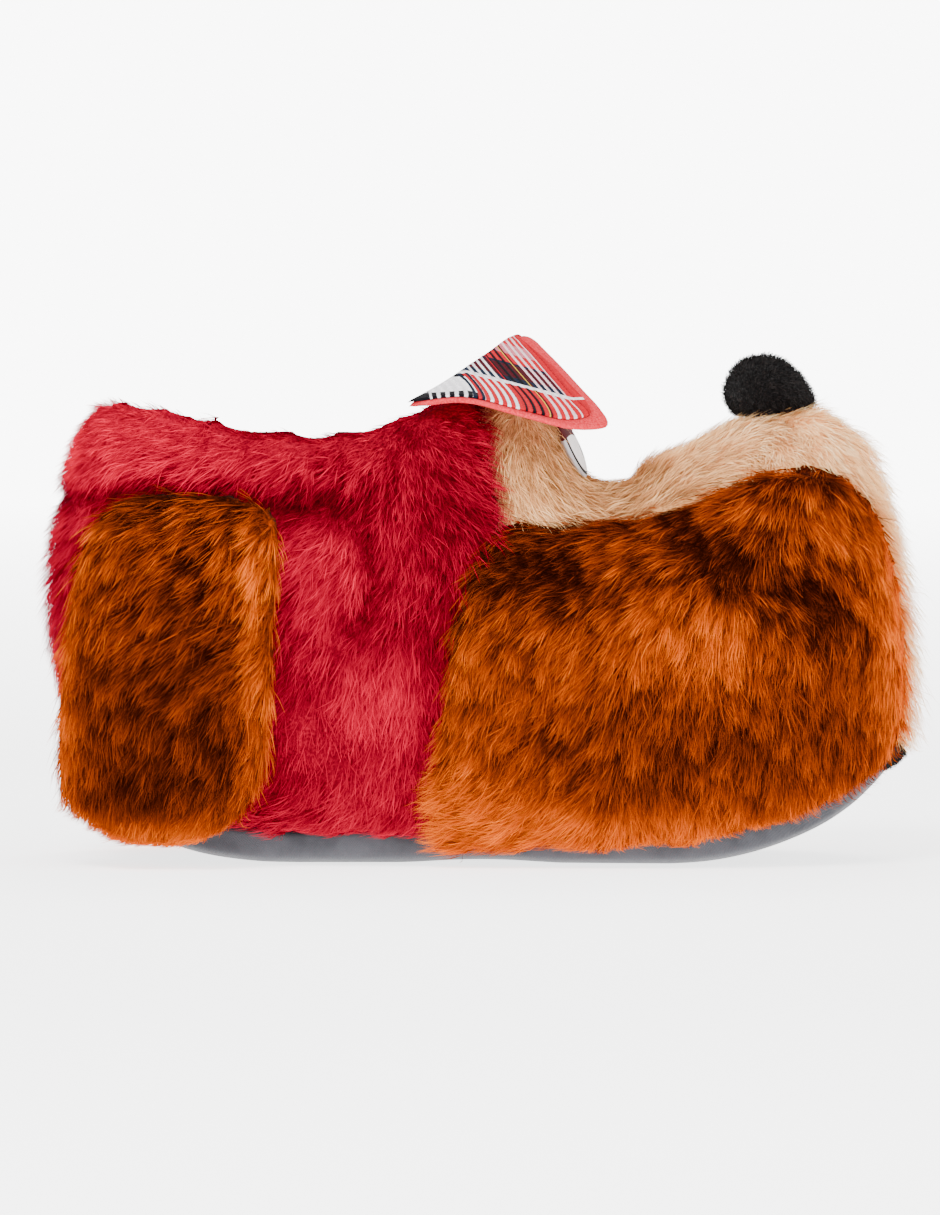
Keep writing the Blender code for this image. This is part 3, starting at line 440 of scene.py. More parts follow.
class Graph:
    """A material's nodes, with short calls to add and join them."""

    def __init__(self, name: str) -> None:
        """Starts a material with one shader."""
        self.material = bpy.data.materials.new(name)
        self.material.use_nodes = True
        self.tree = self.material.node_tree
        self.tree.nodes.clear()
        self.shader = self.add("ShaderNodeBsdfPrincipled")
        output = self.add("ShaderNodeOutputMaterial")
        self.tree.links.new(self.shader.outputs[0], output.inputs["Surface"])

    def add(self, kind: str, **settings: object) -> bpy.types.Node:
        """A new node with its settings."""
        node = self.tree.nodes.new(kind)
        for key, value in settings.items():
            setattr(node, key, value)
        return node

    def feed(self, socket: Socket, value: Feed) -> None:
        """Joins a socket to another, or sets it to a constant."""
        if isinstance(value, Socket):
            self.tree.links.new(value, socket)
        elif isinstance(value, (tuple, list)) and len(value) == 3 and socket.type == "RGBA":
            socket.default_value = (*value, 1.0)
        else:
            socket.default_value = value

    def surface(self, **values: Feed) -> None:
        """Sets the shader's sockets by name, with underscores for spaces."""
        for key, value in values.items():
            self.feed(self.shader.inputs[key.replace("_", " ")], value)

    def reading(self, name: str) -> Socket:
        """A number stored on the mesh."""
        return self.add("ShaderNodeAttribute", attribute_name=name).outputs["Fac"]

    def place(self, kind: str = "Object") -> Socket:
        """The place of the shaded point, in the object's space or on its UV map."""
        return self.add("ShaderNodeTexCoord").outputs[kind]

    def math(self, operation: str, first: Feed, second: Feed = 0.0, third: Feed = 0.0) -> Socket:
        """One sum, product or other working."""
        node = self.add("ShaderNodeMath", operation=operation)
        for socket, value in zip(node.inputs, (first, second, third)):
            self.feed(socket, value)
        return node.outputs[0]

    def mix(self, share: Feed, first: Feed, second: Feed, blend: str = "MIX") -> Socket:
        """Two colours mixed by a share."""
        node = self.add("ShaderNodeMix", data_type="RGBA", blend_type=blend)
        self.feed(node.inputs[0], share)
        self.feed(node.inputs[6], first)
        self.feed(node.inputs[7], second)
        return node.outputs[2]

    def scale(
        self, value: Feed, low: float, high: float, from_low: float = 0.0, from_high: float = 1.0
    ) -> Socket:
        """A number taken from one range to another and kept inside it."""
        node = self.add("ShaderNodeMapRange", clamp=True)
        for socket, number in zip(node.inputs, (value, from_low, from_high, low, high)):
            self.feed(socket, number)
        return node.outputs[0]

    def ramp(self, value: Feed, stops: Stops, sharp: bool = False) -> Socket:
        """The colour at a number between coloured stops."""
        node = self.add("ShaderNodeValToRGB")
        bands = node.color_ramp
        bands.interpolation = "CONSTANT" if sharp else "LINEAR"
        bands.elements[1].position = stops[-1][0]
        bands.elements[0].position = stops[0][0]
        for at, _ in stops[1:-1]:
            bands.elements.new(at)
        for element, (_, tint) in zip(bands.elements, stops):
            element.color = (*tint, 1.0)
        self.feed(node.inputs[0], value)
        return node.outputs[0]

    def noise(self, size: float, detail: float = 3.0, stretch: Sequence[float] = (1, 1, 1)) -> Socket:
        """A random grain about one size in metres, drawn out along the axes by stretch."""
        node = self.add("ShaderNodeTexNoise")
        turn = self.add("ShaderNodeMapping")
        self.feed(turn.inputs["Scale"], [1.0 / part for part in stretch])
        self.feed(turn.inputs["Vector"], self.place())
        self.feed(node.inputs["Vector"], turn.outputs[0])
        self.feed(node.inputs["Scale"], 1.0 / size)
        self.feed(node.inputs["Detail"], detail)
        return node.outputs["Fac"]

    def split(self, vector: Feed) -> tuple[Socket, ...]:
        """The three parts of a vector."""
        node = self.add("ShaderNodeSeparateXYZ")
        self.feed(node.inputs[0], vector)
        return tuple(node.outputs)

    def distance(self, first: Feed, second: Feed) -> Socket:
        """The length of a way whose two parts are given: the root of their squares' sum."""
        squares = [self.math("MULTIPLY", part, part) for part in (first, second)]
        return self.math("SQRT", self.math("ADD", *squares))

    def tinted(self, tint: Feed, light: Feed) -> Socket:
        """A colour times one number."""
        grey = self.add("ShaderNodeCombineColor")
        for socket in grey.inputs:
            self.feed(socket, light)
        return self.mix(1.0, tint, grey.outputs[0], "MULTIPLY")

    def bump(self, height: Feed, depth: float, strength: float = 1.0) -> None:
        """Raises the surface's relief by a height of up to depth metres."""
        node = self.add("ShaderNodeBump")
        self.feed(node.inputs["Height"], height)
        self.feed(node.inputs["Distance"], depth)
        self.feed(node.inputs["Strength"], strength)
        self.feed(self.shader.inputs["Normal"], node.outputs[0])


@dataclass(frozen=True)
class PlushFinish:
    """Dyed plush: each hair runs from a dark root, painted shade deep in the pile, to a paler tip, and
    follows the painted light and shade of its patch.
    """

    slot: str
    dyes: Stops
    rise: float = 0.42
    spread: float = 0.26
    roughness: float = 0.7
    sheen: float = 0.01

    def hair(self) -> Material:
        """The material of the hairs: the colour climbs its ramp with the patch's painted light and shade,
        along the hair from a root darkened as painted shade, and by chance.
        """
        graph = Graph(f"{self.slot}_hair")
        along, tone = graph.reading("along"), graph.reading("tone")
        tip, luck = graph.math("SUBTRACT", along, 0.55), graph.math("SUBTRACT", tone, 0.5)
        # Painted shade: the colour sits lower on the ramp towards the root, for the shade deep in the pile.
        climb = graph.math("MULTIPLY_ADD", tip, self.rise, graph.reading("shade"))
        climb = graph.math("MULTIPLY_ADD", luck, self.spread, climb)
        graph.surface(Base_Color=graph.ramp(climb, self.dyes))
        graph.surface(Roughness=graph.scale(tone, self.roughness + 0.12, self.roughness - 0.1))
        graph.surface(Sheen_Weight=self.sheen, Sheen_Roughness=0.45, Specular_IOR_Level=0.0)
        return graph.material

    def skin(self) -> Material:
        """The material of the knitted back and short underfur below the hairs, darkened as painted shade
        under the pile.
        """
        graph = Graph(f"{self.slot}_skin")
        grain = graph.noise(0.0011, 4.0)
        # Painted shade: the skin sits lower on the ramp than the hairs, for the shade under the pile, with a
        # random grain.
        climb = graph.math("ADD", graph.reading("shade"), graph.scale(grain, -0.36, -0.02, 0.3, 0.7))
        graph.surface(Base_Color=graph.ramp(climb, self.dyes), Roughness=0.9)
        graph.surface(Sheen_Weight=self.sheen, Sheen_Roughness=0.6, Specular_IOR_Level=0.0)
        graph.bump(grain, 0.0009, 0.8)
        return graph.material


RED_DYES = (
    (0.0, (0.04, 0.0, 0.002)),
    (0.3, (0.14, 0.0, 0.007)),
    (0.6, (0.38, 0.0, 0.02)),
    (0.85, (0.66, 0.0, 0.034)),
    (1.0, (0.9, 0.004, 0.05)),
)
RUST_DYES = (
    (0.0, (0.009, 0.001, 0.0)),
    (0.25, (0.048, 0.0048, 0.0)),
    (0.5, (0.2, 0.023, 0.0)),
    (0.75, (0.5, 0.07, 0.0)),
    (1.0, (0.76, 0.14, 0.0)),
)
CREAM_DYES = (
    (0.0, (0.2, 0.075, 0.022)),
    (0.35, (0.66, 0.31, 0.115)),
    (0.65, (0.97, 0.57, 0.25)),
    (1.0, (1.0, 0.83, 0.5)),
)
# Painted highlight: the black pile's top stops are a brownish grey, for soft highlights on the nose and lip.
BLACK_DYES = ((0.0, (0.001, 0.001, 0.001)), (0.5, (0.005, 0.004, 0.004)), (1.0, (0.045, 0.037, 0.034)))
RED = PlushFinish("red_plush", RED_DYES, rise=0.38, spread=0.3)
RUST = PlushFinish("rust_plush", RUST_DYES, rise=0.55, spread=0.36)
CREAM = PlushFinish("cream_plush", CREAM_DYES, rise=0.38)
BLACK = PlushFinish("black_plush", BLACK_DYES, rise=0.6, roughness=0.5, sheen=0.08)


@dataclass(frozen=True)
class Pile:
    """How a plush's pile stands, with lengths in mm and turns in degrees.

    Attributes:
        hairs: how many long hairs there are.
        length: the long hairs' length.
        width: their width.
        lift: how steeply they rise from the skin.
        tuft: the size of the tufts.
        gather: how far the tips are drawn to their tuft's middle, as a share of the way there.
        stray: how far a hair's way strays by chance.
        segments: the stretches along a long hair.
        under: short hairs for each long one.
        overhang: how far hair hangs past the hem.
        feather: how much paler the middle of a tuft is than its edge, as painted shade between the tufts.
        level: how far the hairs' rise turns from the skin's own square to straight out from the foot.
        ahead: how much longer and steeper hairs grow that face ahead, from which x, and the least
            share facing so.
        crown: how much shorter the hairs on top are, as a share.
    """

    hairs: int
    length: float
    width: float = 0.34
    lift: float = 17.0
    tuft: float = 6.0
    gather: float = 0.34
    stray: float = 8.0
    segments: int = 2
    under: float = 0.7
    overhang: float = 2.0
    feather: float = 0.3
    level: float = 0.0
    ahead: tuple[float, float, float] = (0.0, 0.15, 0.45)
    crown: float = 0.0


def out_from_foot(points: Array) -> Array:
    """The way from the middle line of the foot's space, at the same place along it, to each point."""
    line = np.array(FOOT_LINE) * MM
    x = np.clip(points[:, 0], line[0, 0], line[-1, 0])
    axis = np.stack([x, np.zeros(len(points)), np.interp(x, line[:, 0], line[:, 1])], axis=1)
    return unit(points - axis)


def comb(points: Array, strokes: Sequence[Stroke], reach: float = 0.012) -> Array:
    """The way the pile is combed: the mean of the strokes' ways, weighted by a bell curve of distance.

    Args:
        points: places in metres.
        strokes: the comb's strokes.
        reach: the bell curve's width in metres.

    Returns:
        One direction for each place, with a little lean to its own side.
    """
    table = np.array(strokes, float)
    gap = (points[:, None, [0, 2]] - table[None, :, :2] * MM) / reach
    power = -0.5 * (gap**2).sum(axis=2)
    weight = np.exp(power - power.max(axis=1, keepdims=True))
    angle = np.radians(table[:, 2])
    way = unit(np.stack([weight @ np.cos(angle), weight @ np.sin(angle)], axis=1))
    lean = 0.18 * np.tanh(points[:, 1] / 0.02)
    return unit(np.stack([way[:, 0], lean, way[:, 1]], axis=1))


def dye_and_painted_light(points: Array, patches: Sequence[Patch], base: float = 0.55) -> Array:
    """The shade from 0 to 1: the patches' painted light and shade weighted by bell curves, over the dye's
    plain base.
    """
    if not patches:
        return np.full(len(points), base)
    table = np.array(patches, float)
    gap = (points[:, None, [0, 2]] / MM - table[None, :, :2]) / table[None, :, 2:4]
    weight = np.exp(-0.5 * (gap**2).sum(axis=2)) * table[:, 5]
    shade = (base * 0.5 + weight @ table[:, 4]) / (0.5 + weight.sum(axis=1))
    return np.clip(shade + 0.07 * wobble(points, 0.012, 5) + 0.05 * wobble(points, 0.03, 6), 0.0, 1.0)


def fold(points: Array, creases: Sequence[Crease]) -> tuple[Array, Array]:
    """How deep and how near the folds are: each falls off as a bell curve of the distance from its stretch.

    Args:
        points: places in metres.
        creases: the folds' stretches.

    Returns:
        The deepest fold's depth at each place, in metres, and its nearness from 0 to 1.
    """
    if not creases:
        return np.zeros(len(points)), np.zeros(len(points))
    table = np.array(creases, float) * MM
    start, reach = table[None, :, :2], table[None, :, 2:4] - table[None, :, :2]
    gap = points[:, None, [0, 2]] - start
    share = np.clip((gap * reach).sum(axis=2) / (reach**2).sum(axis=2), 0.0, 1.0)
    away = np.linalg.norm(gap - reach * share[:, :, None], axis=2)
    near = np.exp(-((away / table[:, 5]) ** 2))
    return (near * table[:, 4]).max(axis=1), near.max(axis=1)


@dataclass(frozen=True)
class Cut:
    """How a skin is cut and sewn, in metres.

    Attributes:
        voxel: the grain of its even copy.
        smoothing: rounds of softening.
        inset: how far its furry faces are drawn in under the pile.
        creases: its folds.
        covers: the nodes that cover parts of it.
        wrap: how far its fur runs round on to faces that don't face out.
        lines: how a pad's top and hem lie.
        sunk: how far the pads over it have sunk, which bares it there.
        grown: rounds by which the drawn-in part spreads into the covered part.
        puff: how far its filling blows a pad up.
        lap: how far its rear edge reaches under the next piece.
    """

    voxel: float = 0.002
    smoothing: int = 6
    inset: float = 0.0035
    creases: Sequence[Crease] = ()
    covers: Sequence[str] = ()
    wrap: float = 0.0
    lines: Sequence[PadLine] = ()
    sunk: Sequence[PadLine] = ()
    grown: int = 0
    puff: float = 0.0
    lap: float = 0.0


@dataclass
class Skin:
    """The sewn plush under the pile: an even, smoothed copy of a soft node, drawn in from its furry faces."""

    node: str
    cut: Cut
    points: Array = field(init=False)
    normals: Array = field(init=False)
    triangles: Array = field(init=False)
    outward: Array = field(init=False)
    furry: Array = field(init=False)
    bare: Array = field(init=False)
    mesh: Mesh = field(init=False)

    def __post_init__(self) -> None:
        """Makes the skin's mesh and reads it into arrays."""
        cut = self.cut
        rough = merge(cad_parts[self.node].data.copy(), 1e-6)
        holder = evened(self.node + "_rough", rough, cut.voxel, cut.smoothing)
        self.mesh = holder.data
        bpy.data.objects.remove(holder)
        self.read()
        self.bare = self.free()
        near = self.spread(self.bare * self.outward, cut.grown, 6)
        facing = self.outward[:, None]
        way = unit(self.normals * facing + out_from_foot(self.points) * (1.0 - facing))
        sink = cut.inset * near + fold(self.points, cut.creases)[0] * self.outward
        drawn = self.points - way * sink[:, None] + self.blown() * near[:, None]
        drawn[:, 0] -= cut.lap * ease(-self.normals[:, 0], 0.5, 0.9)
        if cut.lines:
            x, drop, hem = np.array(cut.lines).T * MM
            drawn[:, 2] -= np.interp(drawn[:, 0], x, drop) * ease(drawn[:, 2], 0.08, 0.115)
            low = np.interp(drawn[:, 0], x, hem) + MM
            drawn[:, 2] = np.where(drawn[:, 2] < low, low - (low - drawn[:, 2]) * 0.15, drawn[:, 2])
        drawn[:, 2] = np.maximum(drawn[:, 2], 0.0006)
        self.mesh.vertices.foreach_set("co", drawn.astype(np.float32).ravel())
        self.mesh.update()
        self.mesh.polygons.foreach_set("use_smooth", np.ones(len(self.mesh.polygons), bool))
        self.read()

    def read(self) -> None:
        """Reads the mesh's points, normals and triangles, and how far each point faces away from the foot."""
        self.mesh.calc_loop_triangles()
        self.points = vectors(self.mesh.vertices)
        self.normals = vectors(self.mesh.vertex_normals, "vector")
        self.triangles = np.empty(len(self.mesh.loop_triangles) * 3, np.int32)
        self.mesh.loop_triangles.foreach_get("vertices", self.triangles)
        self.triangles = self.triangles.reshape(-1, 3)
        facing = (self.normals * out_from_foot(self.points)).sum(axis=1)
        self.outward = ease(facing, -0.15, 0.25)
        self.furry = ease(facing, -0.2 - self.cut.wrap, 0.1 - self.cut.wrap)

    def blown(self, grain: float = 0.0045, steps: int = 20, cap: float = 1.6) -> Array:
        """How far the filling blows each point out, by a cloth simulation with pressure and no gravity.

        The cloth is a coarser even copy of the pad. Its moves are scaled so that nine in ten are shorter than
        the puff, none is longer than cap times it, and each point takes the mean of the six nearest of them.

        Args:
            grain: the cloth's voxel in metres.
            steps: frames of the simulation.
            cap: the longest move, as a share of the puff.

        Returns:
            One move for each point, in metres: none for a skin that isn't a stuffed pad.
        """
        puff = self.cut.puff
        if not puff:
            return np.zeros_like(self.points)
        scene = bpy.context.scene
        pad = evened(self.node + "_cloth", self.mesh.copy(), grain)
        cloth = pad.modifiers.new("filling", "CLOTH")
        cloth.settings.quality = 6
        cloth.settings.use_pressure = True
        cloth.settings.uniform_pressure_force = 4.0
        cloth.settings.effector_weights.gravity = 0.0
        cloth.point_cache.frame_start = 1
        cloth.point_cache.frame_end = steps
        for step in range(1, steps + 1):
            scene.frame_set(step)
        before, after = vectors(pad.data.vertices), vectors(shown_mesh(pad).vertices)
        bpy.data.objects.remove(pad)
        scene.frame_set(1)
        move = after - before
        far = np.linalg.norm(move, axis=1, keepdims=True)
        usual = max(float(np.percentile(far, 90)), 1e-6)
        move *= np.minimum(puff / usual, cap * puff / np.maximum(far, 1e-9))
        LOG.info("%s: blown up by %.1f mm, kept to %.1f mm", self.node, usual / MM, puff / MM)
        near = KDTree(len(move))
        for number, point in enumerate(before.tolist()):
            near.insert(point, number)
        near.balance()
        found = [[number for _, number, _ in near.find_n(point, 6)] for point in self.points.tolist()]
        return move[np.array(found)].mean(axis=1)

    def hem(self, x: Array) -> Array:
        """The height of the furry face's lower edge at places along the slipper, in metres."""
        furry = self.points[(self.furry if self.cut.wrap > 1.0 else self.outward) > 0.6]
        low, high = furry[:, 0].min(), furry[:, 0].max()
        count = max(int((high - low) / 0.006), 3)
        bins = np.clip(((furry[:, 0] - low) / (high - low) * count).astype(int), 0, count - 1)
        lowest = np.full(count, np.inf)
        np.minimum.at(lowest, bins, furry[:, 2])
        middles = low + (np.arange(count) + 0.5) / count * (high - low)
        return np.interp(x, middles, lowest)

    def spread(self, values: Array, grown: int, evened: int) -> Array:
        """Values spread over the skin: each point takes its neighbours' highest first, then half their mean.

        Args:
            values: one value for each point.
            grown: rounds of taking the highest.
            evened: rounds of taking the mean.

        Returns:
            The new values.
        """
        ends = np.empty(len(self.mesh.edges) * 2, np.int32)
        self.mesh.edges.foreach_get("vertices", ends)
        one, other = ends.reshape(-1, 2).T
        count = np.maximum(np.bincount(ends, minlength=len(values)), 1)
        for _ in range(grown):
            highest = values.copy()
            np.maximum.at(highest, one, values[other])
            np.maximum.at(highest, other, values[one])
            values = highest
        for _ in range(evened):
            near = np.bincount(one, values[other], len(values)) + np.bincount(other, values[one], len(values))
            values = 0.5 * values + 0.5 * near / count
        return values

    def free(self, depth: float = 0.0045) -> Array:
        """Which points no other node covers, evened with their neighbours: 0 is covered, 1 in the open.

        Args:
            depth: how near a covering node is, in metres.

        Returns:
            One value for each point.
        """
        starts = [Vector(point) for point in (self.points - self.normals * 0.0008).tolist()]
        ways = [Vector(normal) for normal in self.normals.tolist()]
        hidden = np.zeros(len(starts), bool)
        for cover in self.cut.covers:
            tree = node_tree(cover)
            hits = [tree.ray_cast(start, way, depth)[0] is not None for start, way in zip(starts, ways)]
            hit = np.array(hits)
            if self.cut.sunk and cover.startswith("cheek"):
                x, drop, _ = np.array(self.cut.sunk).T * MM
                place, height = self.points[:, 0], self.points[:, 2]
                hit &= height < ridge(cover, place) - np.interp(place, x, drop)
            hidden |= hit
        return self.spread(1.0 - hidden, 0, 2)


def grow_hairs(
    skin: Skin, pile: Pile, strokes: Sequence[Stroke], patches: Sequence[Patch], base: float, seed: int
) -> list[Array]:
    """The pile of one plush piece, as one mesh of narrow tapering ribbons.

    Each hair starts at a random place of the skin, just under it. Its way is the comb's way laid on the skin
    and turned a little by slow swells, by its tuft and at random. Along the hair, its height grows as the
    share less its square, so it rises and lies over, and its tip is drawn towards its tuft's middle. The
    ribbon's width falls to nothing.

    Args:
        skin: what the pile grows from.
        pile: how it stands.
        strokes: the comb's strokes.
        patches: the patches of painted light and shade.
        base: the dye's shade away from the patches.
        seed: which random hairs.

    Returns:
        The points, the four-cornered and three-cornered faces, and along, tone and shade at each point.
    """
    rng = np.random.default_rng(seed)
    corners = skin.points[skin.triangles]
    area = np.linalg.norm(np.cross(corners[:, 1] - corners[:, 0], corners[:, 2] - corners[:, 0]), axis=1)
    weight = area * (skin.bare * skin.furry)[skin.triangles].mean(axis=1) ** 1.3
    chosen = rng.choice(len(weight), pile.hairs, p=weight / weight.sum())
    first = np.sqrt(rng.random(pile.hairs))
    second = rng.random(pile.hairs)
    share = np.stack([1 - first, first * (1 - second), first * second], axis=1)[:, :, None]
    root = (corners[chosen] * share).sum(axis=1)
    square = unit((skin.normals[skin.triangles[chosen]] * share).sum(axis=1))
    square = unit(square + pile.level * out_from_foot(root))
    way = comb(root, strokes)
    way = way - square * (way * square).sum(axis=1, keepdims=True)
    thin = np.linalg.norm(way, axis=1, keepdims=True) < 0.12
    spare = np.array([0.0, 0.0, -1.0]) + square * square[:, 2:]
    way = unit(np.where(thin, way + 0.5 * spare, way))
    pull, luck = clumps(root, pile.tuft * MM, seed)
    sway = 11.0 * wobble(root, 0.022, seed + 1) + 26.0 * (luck[:, 0] - 0.5)
    turn = np.radians(sway + pile.stray * rng.normal(size=pile.hairs))[:, None]
    way = way * np.cos(turn) + np.cross(square, way) * np.sin(turn)
    pull = pull - square * (pull * square).sum(axis=1, keepdims=True)
    near = fold(root, skin.cut.creases)[1]
    core = np.clip(1.0 - np.linalg.norm(pull, axis=1) / (0.62 * pile.tuft * MM), 0.0, 1.0)
    length = pile.length * MM * (0.7 + 0.4 * rng.random(pile.hairs))
    length = length * (0.8 + 0.25 * luck[:, 1] + 0.2 * core) * (1.0 - 0.45 * near)
    lift = pile.lift * (0.5 + 0.8 * rng.random(pile.hairs)) * (0.6 + 0.4 * luck[:, 2] + 0.6 * core)
    growth, start, least = pile.ahead
    ahead = growth * ease(square[:, 0], least, least + 0.5) * ease(root[:, 0], start, start + 0.025)
    length = length * (1.0 + ahead) * (1.0 - pile.crown * ease(square[:, 2], 0.35, 0.9))
    lift = np.radians(np.minimum(lift * (1.0 + ahead), 80.0))
    at = np.linspace(0.0, 1.0, pile.segments + 1)[None, :, None]
    height = np.sin(lift)[:, None, None] * (1.55 * at - 0.8 * at**2)
    path = way[:, None] * at * np.cos(lift)[:, None, None] + square[:, None] * height
    path = root[:, None] - square[:, None] * 0.0004 + path * length[:, None, None]
    path = path + pull[:, None] * (pile.gather * at**1.4)
    hem = skin.hem(root[:, 0])[:, None] - pile.overhang * MM * rng.random((pile.hairs, 1))
    hem = np.maximum(hem, 0.0005 + 0.0009 * rng.random((pile.hairs, 1)))
    below = np.maximum(hem - path[:, :, 2], 0.0)
    path[:, :, 2] += below * 0.9
    path[:, :, :2] += (square[:, None, :2] * 0.35) * below[:, :, None]
    path[:, :, 2] = np.maximum(path[:, :, 2], 0.0005)
    roll = np.radians(rng.uniform(-42, 42, pile.hairs))[:, None]
    across = unit(np.cross(way, square)) * np.cos(roll) + square * np.sin(roll)
    half = pile.width * MM * 0.5 * (0.75 + 0.5 * rng.random(pile.hairs))
    taper = np.interp(at[0, :-1, 0], (0.0, 0.35, 1.0), (0.8, 1.0, 0.35))
    spread = across[:, None] * (half[:, None] * taper)[:, :, None]
    left, right = path[:, :-1] - spread, path[:, :-1] + spread
    body = np.stack([left, right], axis=2).reshape(pile.hairs, -1, 3)
    points = np.concatenate([body, path[:, -1:]], axis=1)
    each = points.shape[1]
    start = (np.arange(pile.hairs) * each)[:, None, None]
    rung = 2 * np.arange(pile.segments - 1)[None, :, None]
    quads = (start + rung + np.array([0, 1, 3, 2])).reshape(-1, 4)
    tips = (start[:, :, 0] + np.array([each - 3, each - 2, each - 1])).reshape(-1, 3)
    along = np.append(np.repeat(at[0, :-1, 0], 2), 1.0)
    tone = 0.5 + 0.2 * rng.normal(size=pile.hairs) + 0.45 * (luck[:, 2] - 0.5)
    tone = np.clip(tone + 0.1 * wobble(root, 0.02, seed + 2), 0, 1)
    # Painted shade between tufts: a tuft's edge is darker than its middle, more so higher up.
    feather = pile.feather * (0.2 + 0.8 * ease(root[:, 2], 0.055, 0.1))
    # Painted shade in the folds: hairs near a crease are darker.
    shade = dye_and_painted_light(root, patches, base) + 0.05 * rng.normal(size=pile.hairs) - 0.22 * near
    shade = shade + feather * (core - 0.45) + 0.4 * feather * (luck[:, 0] - 0.5)
    stored = (np.tile(along, pile.hairs), np.repeat(tone, each), np.repeat(np.clip(shade, 0, 1), each))
    return [points.reshape(-1, 3), quads, tips, *stored]


def grow_pile(
    skin: Skin, pile: Pile, strokes: Sequence[Stroke], patches: Sequence[Patch], base: float, seed: int
) -> Mesh:
    """The pile of one plush piece as one mesh: short straight underhair, then the long hair over it.

    Args:
        skin: what the pile grows from.
        pile: how it stands.
        strokes: the comb's strokes.
        patches: the patches of painted light and shade.
        base: the dye's shade away from the patches.
        seed: which random pile.

    Returns:
        The mesh, with along, tone and shade stored on its vertices.
    """
    few, short_length, broad = int(pile.hairs * pile.under), pile.length * 0.72, pile.width * 1.25
    short = replace(pile, hairs=few, length=short_length, segments=1, width=broad)
    # Painted shade: the short underhair is dyed lower on the ramp than the long hair, for the shade beneath
    # it.
    low = grow_hairs(skin, short, strokes, patches, base - 0.12, seed + 100)
    high = grow_hairs(skin, pile, strokes, patches, base, seed)
    faces = [high[1] + len(low[0]), np.concatenate([low[2], high[2] + len(low[0])])]
    mesh = make_mesh("pile", np.concatenate([low[0], high[0]]), faces)
    for name, first, second in zip(("along", "tone", "shade"), low[3:], high[3:]):
        paint(mesh, name, np.concatenate([first, second]))
    return mesh


def finish_piece(
    piece: Piece, slot: str, replaced: Sequence[str] = ()
) -> Piece:
    """Rides a piece on the slipper, hides the nodes it stands for, and reports it with its slot.

    Args:
        piece: the new piece.
        slot: the record's material slot.
        replaced: the nodes it stands for.

    Returns:
        The piece.
    """
    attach(piece, "root")
    if replaced:
        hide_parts(*replaced)
    LOG.info("%s: %d faces in %s", piece.name, len(piece.data.polygons), slot)
    return piece


@dataclass
class PlushPart:
    """One furry part of the slipper: its skin, its pile and their dyes."""

    node: str
    finish: PlushFinish
    pile: Pile
    cut: Cut
    strokes: Sequence[Stroke]
    patches: Sequence[Patch] = ()
    base: float = 0.5
    fill: float = 0.6
    seed: int = 1

    def build(self) -> list[Piece]:
        """Makes the skin and its pile.

        Returns:
            Both pieces.
        """
        skin = Skin(self.node, self.cut)
        paint(skin.mesh, "shade", dye_and_painted_light(skin.points, self.patches, self.base))
        base = add_piece(self.node + "_skin", skin.mesh, self.finish.skin())
        hairs = grow_pile(skin, self.pile, self.strokes, self.patches, self.base, self.seed)
        pile = add_piece(self.node + "_pile", hairs, self.finish.hair())
        slot = self.finish.slot
        return [finish_piece(base, slot, [self.node]), finish_piece(pile, slot)]


